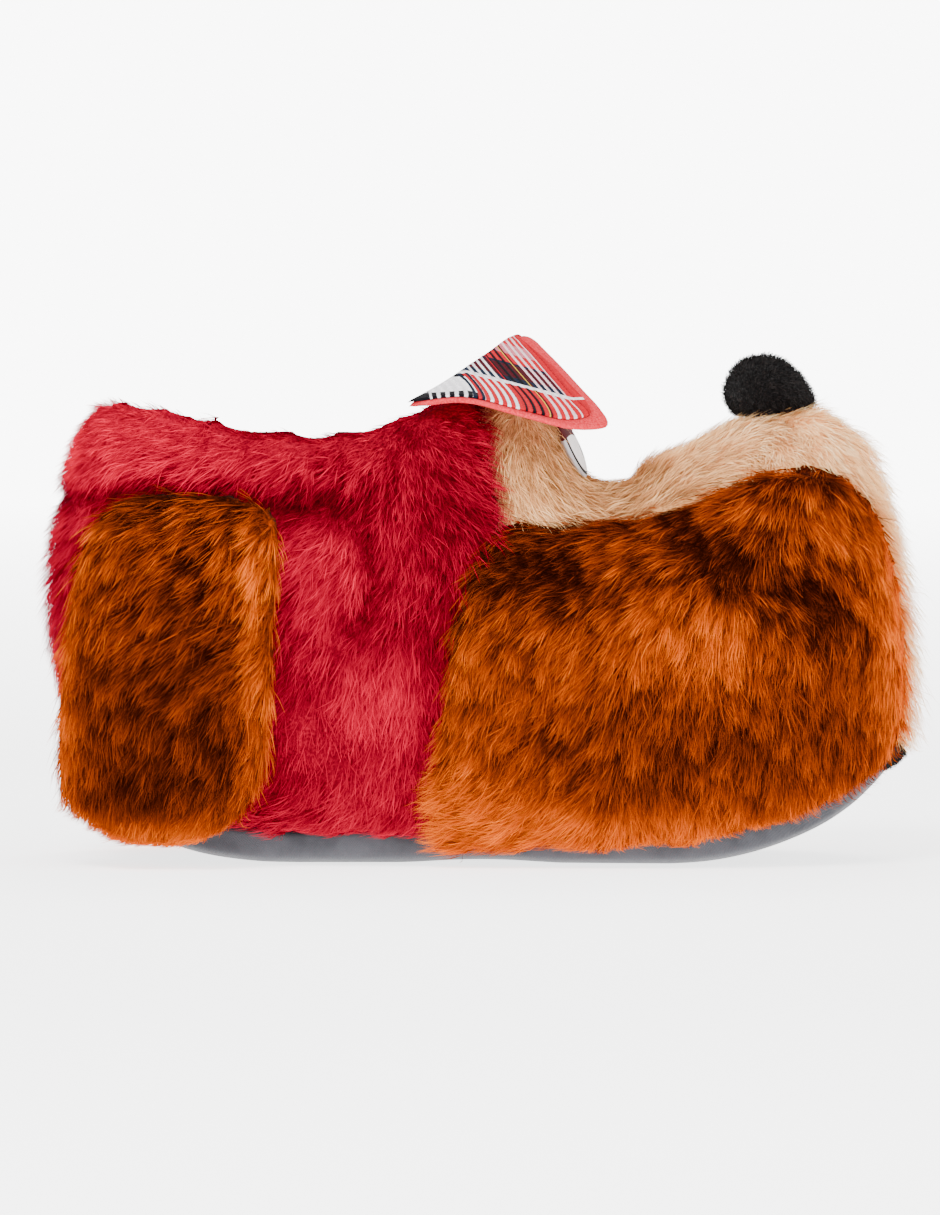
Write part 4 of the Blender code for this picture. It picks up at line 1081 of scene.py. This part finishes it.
@dataclass
class Visor:
    """The cocked cap peak: a felt board with bare edges, and a quilted tartan cover over it."""

    steps: int = 6
    columns: int = 30
    bulge: float = 3.0
    felt_thick: float = 1.8
    cover_thick: float = 1.0
    rib: float = 0.002

    def ribs(self, reach: float) -> Array:
        """The under surface: ribs from rear to front, bowed up along a half sine both ways, in metres.

        Args:
            reach: 1 for the whole visor, 0 to stop where the plaid ends.

        Returns:
            Grid of points, one row for each rib.
        """
        table = through(VISOR_RIBS, self.steps)
        rear, front, margin = table[:, :3], table[:, 3:6], table[:, 6]
        span = np.linalg.norm(front - rear, axis=1)
        end = 1.0 - (1.0 - reach) * np.minimum(margin, 0.72 * span) / span
        share = (1 - np.cos(np.linspace(0, np.pi, self.columns))) / 2 * end[:, None]
        along = np.sin(np.pi * np.linspace(0, 1, len(table)))[:, None]
        rise = (np.sin(np.pi * share) * along * self.bulge)[:, :, None] * np.array([0.0, -0.35, 0.94])
        return (rear[:, None] + (front - rear)[:, None] * share[:, :, None] + rise) * MM

    def sheet(self, name: str, grid: Array, low: float, high: float, edge: float) -> Mesh:
        """A closed sheet between two heights over a grid, whose edges round off as a quarter ellipse.

        Args:
            name: the mesh's name.
            grid: the grid of points, in metres.
            low: the under side's height over the grid, in metres.
            high: the upper side's height.
            edge: how far in from its edges the rounding starts.

        Returns:
            The mesh, its UV map in metres along and across the visor.
        """
        normals = np.cross(np.gradient(grid, axis=0), np.gradient(grid, axis=1))
        square = unit(normals)
        square = square * np.sign(square[:, :, 2].mean())
        steps_down = np.linalg.norm(np.diff(grid, axis=0), axis=2)
        steps_across = np.linalg.norm(np.diff(grid, axis=1), axis=2)
        down = np.vstack([np.zeros((1, grid.shape[1])), np.cumsum(steps_down, axis=0)])
        across = np.hstack([np.zeros((grid.shape[0], 1)), np.cumsum(steps_across, axis=1)])
        inside = np.minimum(np.minimum(down, down[-1:] - down), np.minimum(across, across[:, -1:] - across))
        near = np.clip(1.0 - inside / edge, 0.0, 1.0)
        half = ((high - low) / 2 * np.sqrt(1.0 - near**2))[:, :, None]
        middle = grid + square * (high + low) / 2
        upper, lower = middle + square * half, middle - square * half
        rows, columns = grid.shape[:2]
        faces = grid_faces(rows, columns)
        flip = square[:, :, 2].mean() > 0 and normals[:, :, 2].mean() < 0
        top = faces if not flip else faces[:, ::-1]
        bottom = top[:, ::-1] + rows * columns
        mesh = make_mesh(name, np.vstack([upper.reshape(-1, 3), lower.reshape(-1, 3)]), [top, bottom])
        flat = self.cut(grid).reshape(-1, 2)
        lay_uv(mesh, np.vstack([flat, flat]))
        return merge(mesh)

    def cut(self, grid: Array) -> Array:
        """Where each point lies in the cloth: back from the peak's front edge, and up from its side edge.

        The first is the distance from the line of the front edge. Near the side edge the height counts
        less, as its square, so the bands there turn down and meet the edge squarely.

        Args:
            grid: the grid of points, in metres.

        Returns:
            The two places of each point, in metres.
        """
        hem = np.array([(rib.front_x, rib.front_z) for rib in VISOR_RIBS[:5]]) * MM
        height = grid[:, :, 2] - np.interp(grid[:, :, 0], hem[:, 0], hem[:, 1])
        turn = 0.006
        eased = np.where(height < turn, np.maximum(height, 0.0) ** 2 / (2 * turn), height - turn / 2)
        back = 0.684 * (hem[-1, 0] - grid[:, :, 0]) - 0.73 * eased
        return np.stack([back, height], axis=2)

    def felt(self) -> Material:
        """Salmon-red felt: matted fibres, a little uneven in colour."""
        graph = Graph("visor_felt")
        grain = graph.noise(0.0007, 5.0)
        cloud = graph.noise(0.009, 2.0)
        base = graph.mix(graph.scale(grain, 0.0, 1.0, 0.35, 0.7), (0.42, 0.006, 0.016), (0.68, 0.05, 0.06))
        clouded = graph.mix(graph.scale(cloud, 0.0, 0.5, 0.4, 0.7), base, (0.55, 0.02, 0.035))
        graph.surface(Base_Color=clouded, Roughness=0.92)
        graph.surface(Sheen_Weight=0.02, Sheen_Roughness=0.5, Specular_IOR_Level=0.02)
        graph.bump(grain, 0.0004, 0.7)
        return graph.material

    def tartan(self) -> Material:
        """A traditional red, navy, white and yellow tartan, where warp and weft take turns in ribs.

        The warp follows the way back from the front edge, the weft the height over the side edge, and
        the tip has a weft of its own.
        """
        graph = Graph("visor_tartan")
        back, height, _ = graph.split(graph.place("UV"))
        red, deep = (0.42, 0.004, 0.012), (0.05, 0.002, 0.006)
        pink, blush = (0.5, 0.12, 0.15), (0.8, 0.55, 0.58)
        navy, black = (0.004, 0.009, 0.022), (0.004, 0.003, 0.005)
        white, yellow = (0.85, 0.82, 0.84), (0.62, 0.42, 0.05)
        warp = (
            (0.0, red), (0.025, deep), (0.05, red), (0.07, blush), (0.25, deep), (0.27, yellow),
            (0.28, black), (0.42, red), (0.45, white), (0.66, navy), (0.73, white), (0.97, black),
        )
        weft = (
            (0.0, black), (0.025, red), (0.275, white), (0.3, navy), (0.36, deep), (0.5, navy), (0.52, red),
            (0.62, pink), (0.72, red), (0.9, navy),
        )
        tip_weft = ((0.0, black), (0.075, white), (0.24, black), (0.3, white), (0.36, navy), (0.6, black))
        across = graph.scale(back, 0.0, 1.0, 0.0025, 0.0425)
        up = graph.scale(height, 0.0, 1.0, -0.0005, 0.0295)
        first, second = graph.ramp(across, warp, sharp=True), graph.ramp(up, weft, sharp=True)
        tip = graph.math("GREATER_THAN", across, 0.7)
        second = graph.mix(tip, second, graph.ramp(up, tip_weft, sharp=True))
        second = graph.mix(graph.math("LESS_THAN", across, 0.07), second, red)
        fuzz = graph.noise(0.0006, 4.0)
        turns = graph.math("MULTIPLY_ADD", fuzz, 0.22, graph.math("MULTIPLY", back, 1 / self.rib))
        wave = graph.math("SINE", graph.math("MULTIPLY", turns, 2 * np.pi))
        woven = graph.mix(graph.scale(wave, 0.0, 1.0, -0.45, -0.05), first, second)
        thin = graph.math("COMPARE", height, 0.0084, 0.0004)
        woven = graph.mix(thin, woven, (0.75, 0.68, 0.7))
        # Painted shade: the cloth is darker in the hollows between the quilted ribs and brighter on their
        # crests.
        rib_shade = graph.scale(wave, 0.85, 1.05, -1.0, 1.0)
        light = graph.math("MULTIPLY", graph.scale(fuzz, 0.7, 1.15, 0.3, 0.7), rib_shade)
        graph.surface(Base_Color=graph.tinted(woven, light), Roughness=0.85)
        graph.surface(Sheen_Weight=0.02, Sheen_Roughness=0.5, Specular_IOR_Level=0.03)
        graph.bump(graph.math("ADD", graph.math("MULTIPLY", wave, 0.5), fuzz), 0.0004, 0.6)
        return graph.material

    def build(self) -> list[Piece]:
        """Makes the felt board and the tartan cover.

        Returns:
            Both pieces.
        """
        board = self.sheet("visor_board", self.ribs(1.0), 0.0, self.felt_thick * MM, 0.0012)
        top = self.felt_thick * MM + 0.0001
        cover = self.sheet("visor_tartan", self.ribs(0.0), top, top + self.cover_thick * MM, 0.0012)
        felt = add_piece("visor_board", board, self.felt())
        plaid = add_piece("visor_tartan", cover, self.tartan())
        return [
            finish_piece(felt, "visor_felt", ["visor_base"]),
            finish_piece(plaid, "visor_plaid", ["visor_cover"]),
        ]


@dataclass
class Eyes:
    """Two flat stuffed eyes of white felt, each with a printed ring, pupil and red lid."""

    around: int = 64
    rings: int = 32
    stretch: float = 1.08

    def print_on_felt(self) -> Material:
        """White felt with the eye's print on its own cut."""
        graph = Graph("eye_felt")
        side, up, _ = graph.split(graph.place("UV"))
        wide = graph.math("SUBTRACT", side, 0.5)
        high = graph.math("SUBTRACT", up, 0.5)
        grain = graph.noise(0.0006, 4.0)
        ring = ((0.0, (0.95, 0.95, 0.95)), (0.295, (0.004, 0.004, 0.005)), (0.365, (0.5, 0.5, 0.52)))
        face = graph.ramp(graph.reading("fall"), ring, sharp=True)
        dot = graph.distance(graph.math("SUBTRACT", wide, 0.2), graph.math("ADD", high, 0.1))
        pupil = graph.mix(graph.scale(dot, 1.0, 0.0, 0.135, 0.145), face, colour("101012"))
        bow = graph.math("MULTIPLY", graph.math("MULTIPLY", wide, wide), -0.5)
        lid_edge = graph.scale(graph.math("SUBTRACT", high, bow), 0.0, 1.0, 0.13, 0.14)
        lid = graph.mix(lid_edge, pupil, (0.06, 0.001, 0.003))
        light = graph.scale(grain, 0.82, 1.08, 0.3, 0.7)
        graph.surface(Base_Color=graph.tinted(lid, light), Roughness=0.75)
        graph.surface(Sheen_Weight=0.04, Sheen_Roughness=0.5, Specular_IOR_Level=0.15)
        graph.bump(grain, 0.0003, 0.5)
        return graph.material

    def oval(self, node: str, side: Side) -> Mesh:
        """One eye in its node's place: a flattened ball, laid along the axes of the node's own points.

        A ring's radius is the sine of its fall from the front to the power 0.8, and its depth the
        cosine, a quarter less where the sine is greatest.

        Args:
            node: the node it stands for.
            side: the side it is on.

        Returns:
            The mesh, with the fall from its front stored on its vertices.
        """
        points = np.unique(vectors(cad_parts[node].data.vertices).round(7), axis=0)
        centre = (points.max(axis=0) + points.min(axis=0)) / 2
        _, axes = np.linalg.eigh(np.cov((points - centre).T))
        thin = axes[:, 0] * np.sign(axes[0, 0])
        high = axes[:, 2] * np.sign(axes[2, 2])
        wide = np.cross(high, thin)
        reach = [np.abs((points - centre) @ axis).max() * self.stretch for axis in (thin, wide, high)]
        turn = np.linspace(0, 2 * np.pi, self.around, endpoint=False)[None]
        fall = np.linspace(0, np.pi, self.rings)[:, None]
        radius = np.sin(fall) ** 0.8
        depth = np.cos(fall) * (1 - 0.25 * np.sin(fall) ** 2)
        shares = np.stack([depth + 0 * turn, radius * np.cos(turn), radius * np.sin(turn)], axis=2)
        grid = centre + (shares * reach) @ np.stack([thin, wide, high])
        mesh = make_mesh(node, grid.reshape(-1, 3), [grid_faces(self.rings, self.around, True)])
        lay_uv(mesh, (shares[:, :, 1:] * (-side.value, 1) / 2 + 0.5).reshape(-1, 2))
        paint(mesh, "fall", np.repeat(fall[:, 0] / np.pi, self.around))
        return merge(mesh, turned=True)

    def build(self) -> list[Piece]:
        """Makes both eyes.

        Returns:
            The two pieces.
        """
        finish = self.print_on_felt()
        made = []
        for side in Side:
            node = f"eye_{side.name.lower()}"
            piece = add_piece(node + "_felt", self.oval(node, side), finish)
            made.append(finish_piece(piece, "eye_white", [node]))
        return made


@dataclass
class Sole:
    """The foam sole in its satin cloth, boat-shaped and a little wrinkled where it turns up at the toe."""

    steps: int = 6
    around: int = 72

    def build(self) -> list[Piece]:
        """Makes the sole: a rounded cross-section carried along its stations.

        Returns:
            The piece.
        """
        table = through(SOLE_STATIONS, self.steps)
        x, half, lift, thick = (table[:, k, None] for k in range(4))
        lift = np.maximum(lift, 0.0)
        angle = np.linspace(-np.pi / 2, 1.5 * np.pi, self.around, endpoint=False)[None]
        across = np.sign(np.cos(angle)) * np.abs(np.cos(angle)) ** 0.55
        up = 0.5 + 0.5 * np.sign(np.sin(angle)) * np.abs(np.sin(angle)) ** 0.45
        belly = 1.0 - 0.07 * (1 - up)
        y = half * across * belly
        z = lift + thick * up
        grid = np.stack([x + 0 * y, y, z], axis=2) * MM
        first = np.arange(self.around)[None]
        last = first + (len(table) - 1) * self.around
        faces = [grid_faces(len(table), self.around, True), first[:, ::-1], last]
        mesh = merge(make_mesh("sole", grid.reshape(-1, 3), faces), 1e-9, turned=True)
        return [finish_piece(add_piece("sole_cloth", mesh, self.cloth()), "sole_cloth", ["outsole"])]

    def cloth(self) -> Material:
        """Grey satin cloth: a fine weave, paler where it meets the floor."""
        graph = Graph("sole_cloth")
        x, y, z = graph.split(graph.place())
        first = graph.math("SINE", graph.math("MULTIPLY", x, 2 * np.pi / 0.0009))
        second = graph.math("SINE", graph.math("MULTIPLY", graph.math("ADD", y, z), 2 * np.pi / 0.0009))
        weave = graph.math("MULTIPLY", first, second)
        cloud = graph.noise(0.012, 3.0)
        base = graph.mix(graph.scale(cloud, 0.0, 1.0, 0.35, 0.65), (0.022, 0.023, 0.029), (0.05, 0.051, 0.06))
        # The cloth is painted paler over its lowest 8 mm, towards the floor.
        low = graph.scale(z, 0.6, 0.0, 0.0, 0.008)
        paler_near_floor = graph.mix(low, base, (0.075, 0.075, 0.085))
        graph.surface(Base_Color=paler_near_floor, Roughness=graph.scale(cloud, 0.42, 0.6, 0.3, 0.7))
        graph.surface(Sheen_Weight=0.04, Sheen_Roughness=0.4, Specular_IOR_Level=0.25)
        wrinkle = graph.noise(0.009, 2.0, stretch=(0.35, 1, 1.6))
        graph.bump(graph.math("ADD", graph.math("MULTIPLY", weave, 0.12), wrinkle), 0.0012, 0.5)
        return graph.material


@dataclass
class Insole:
    """The soft insole that the foot stands on, in pale pink fleece."""

    voxel: float = 0.0026

    def build(self) -> list[Piece]:
        """Makes the insole from its node, evened and smoothed.

        Returns:
            The piece.
        """
        skin = Skin("insole", Cut(voxel=self.voxel, smoothing=3, inset=0.0))
        graph = Graph("insole_fleece")
        grain = graph.noise(0.0012, 4.0)
        fleece = graph.mix(graph.scale(grain, 0, 1, 0.35, 0.65), colour("c88a86"), colour("eebcb4"))
        graph.surface(Base_Color=fleece, Roughness=0.95)
        graph.surface(Sheen_Weight=0.35, Sheen_Roughness=0.6, Specular_IOR_Level=0.2)
        graph.bump(grain, 0.0012, 0.8)
        piece = add_piece("insole_fleece", skin.mesh, graph.material)
        return [finish_piece(piece, "insole_cloth", ["insole"])]


@dataclass
class Studio:
    """A plain pale floor, soft lamps and the camera at the side."""

    target: tuple[float, float, float] = (0.0432, -0.045, 0.0912)
    distance: float = 3.0
    rise: float = 2.5
    lens: float = 254.0
    sky: float = 9.0
    daylight: float = 1.3

    def floor(self) -> None:
        """A wide round floor whose far part has the background's own brightness."""
        turn = np.linspace(0, 2 * np.pi, 96, endpoint=False)[None]
        radius = np.array([0.0, 0.5, 1.0, 2.0, 5.0, 20.0, 60.0])[:, None]
        grid = np.stack([radius * np.cos(turn), radius * np.sin(turn), 0 * radius * turn], axis=2)
        mesh = merge(make_mesh("floor", grid.reshape(-1, 3), [grid_faces(len(radius), turn.size, True)]))
        graph = Graph("floor")
        x, y, _ = graph.split(graph.place())
        near = graph.scale(graph.distance(x, y), 1.0, 0.0, 0.6, 4.0)
        tint = graph.mix(near, (0.0, 0.0, 0.0), (0.92, 0.92, 0.92))
        graph.surface(Base_Color=tint, Roughness=0.9, Specular_IOR_Level=0.0)
        graph.surface(Emission_Color=(1.0, 1.0, 1.0), Emission_Strength=graph.scale(near, self.sky, 2.5))
        add_piece("floor", mesh, graph.material)

    def lamp(self, name: str, place: tuple[float, float, float], size: float, power: float) -> None:
        """One soft lamp that looks at the slipper."""
        light = bpy.data.lights.new(name, "AREA")
        light.shape = "DISK"
        light.size = size
        light.energy = power
        lamp = bpy.data.objects.new(name, light)
        bpy.context.scene.collection.objects.link(lamp)
        lamp.location = place
        lamp.rotation_euler = (Vector((0.03, 0.0, 0.08)) - Vector(place)).to_track_quat("-Z", "Y").to_euler()

    def build(self) -> None:
        """Makes the floor, the lamps, the background and the camera."""
        self.floor()
        self.lamp("key", (-0.5, -1.3, 1.6), 1.0, 48.0)
        self.lamp("fill", (1.5, -1.1, 0.8), 1.2, 17.0)
        self.lamp("back", (0.2, 1.3, 1.5), 1.0, 20.0)
        world = bpy.data.worlds.new("studio")
        world.use_nodes = True
        nodes, links = world.node_tree.nodes, world.node_tree.links
        seen = nodes.new("ShaderNodeMapRange")
        seen.inputs["To Min"].default_value = self.daylight
        seen.inputs["To Max"].default_value = self.sky
        links.new(nodes.new("ShaderNodeLightPath").outputs["Is Camera Ray"], seen.inputs["Value"])
        links.new(seen.outputs[0], nodes["Background"].inputs["Strength"])
        nodes["Background"].inputs["Color"].default_value = (1.0, 1.0, 1.0, 1.0)
        bpy.context.scene.world = world
        lens = bpy.data.cameras.new("camera")
        lens.lens = self.lens
        lens.clip_end = 100.0
        camera = bpy.data.objects.new("camera", lens)
        bpy.context.scene.collection.objects.link(camera)
        rise = np.radians(self.rise)
        aim = Vector(self.target)
        camera.location = aim + Vector((0.0, -np.cos(rise), np.sin(rise))) * self.distance
        camera.rotation_euler = (aim - camera.location).to_track_quat("-Z", "Y").to_euler()
        bpy.context.scene.camera = camera


def plush_parts() -> list[PlushPart]:
    """The furry parts, from the inside out.

    Returns:
        The parts in the order they are built.
    """
    cheeks, haunches = ("cheek_left", "cheek_right"), ("haunch_left", "haunch_right")
    over_upper = [*cheeks, *haunches, "face", "visor_base", "outsole"]
    over_face = [*cheeks, "upper", "visor_base", "lip", "outsole", "eye_left", "eye_right"]
    red_pile = Pile(
        47500, 12.0, 0.3, tuft=4.5, stray=15, lift=20, level=0.9, ahead=(0.5, 0.026, -2.0), crown=0.5,
    )
    red_cut = Cut(voxel=0.0028, creases=RED_CREASES, covers=over_upper, wrap=0.3, grown=3)
    cream_pile = Pile(24500, 10.0, 0.3, tuft=4.5, lift=25, stray=14, ahead=(0.6, 0.15, 0.45))
    cream_cut = Cut(voxel=0.0024, inset=0.0025, covers=over_face, sunk=CHEEK_LINES, lap=0.0028)
    nose_pile = Pile(12000, 3.6, 0.24, lift=52, tuft=2.5, stray=40, overhang=0.0)
    nose_cut = Cut(voxel=0.0012, inset=0.0012, wrap=2.0)
    lip_pile = Pile(2000, 3.5, 0.3, lift=30, tuft=3.0)
    lip_cut = Cut(voxel=0.001, inset=0.0015, covers=["face", "outsole", *cheeks])
    cheek_pile = Pile(38000, 13.0, 0.3, stray=11, feather=0.4, ahead=(-0.3, 0.15, 0.45))
    cheek_cut = Cut(
        voxel=0.0021, inset=0.0039, creases=CHEEK_CREASES, covers=["face", "upper", "outsole"],
        lines=CHEEK_LINES, puff=0.0014,
    )
    haunch_pile = Pile(19000, 13.0, 0.3, stray=11, feather=0.55)
    haunch_cut = Cut(voxel=0.0022, inset=0.0042, covers=["upper", "outsole"], puff=0.002)
    parts = [
        PlushPart("upper", RED, red_pile, red_cut, RED_COMB, RED_ZONES, seed=11),
        PlushPart("face", CREAM, cream_pile, cream_cut, FACE_COMB, FACE_ZONES, seed=21),
        PlushPart("nose", BLACK, nose_pile, nose_cut, FACE_COMB, seed=31),
        PlushPart("lip", BLACK, lip_pile, lip_cut, FACE_COMB, seed=32),
    ]
    for name in cheeks:
        parts.append(PlushPart(name, RUST, cheek_pile, cheek_cut, CHEEK_COMB, CHEEK_ZONES, seed=41))
    for name in haunches:
        parts.append(PlushPart(name, RUST, haunch_pile, haunch_cut, HAUNCH_COMB, HAUNCH_ZONES, 0.45, seed=51))
    return parts


def main() -> None:
    """Builds the slipper's pieces in order and the studio round it."""
    logging.basicConfig(level=logging.INFO, format="%(name)s: %(message)s")
    for maker in (Sole(), Insole(), *plush_parts(), Visor(), Eyes()):
        maker.build()
    Studio().build()


if __name__ == "__main__":
    main()
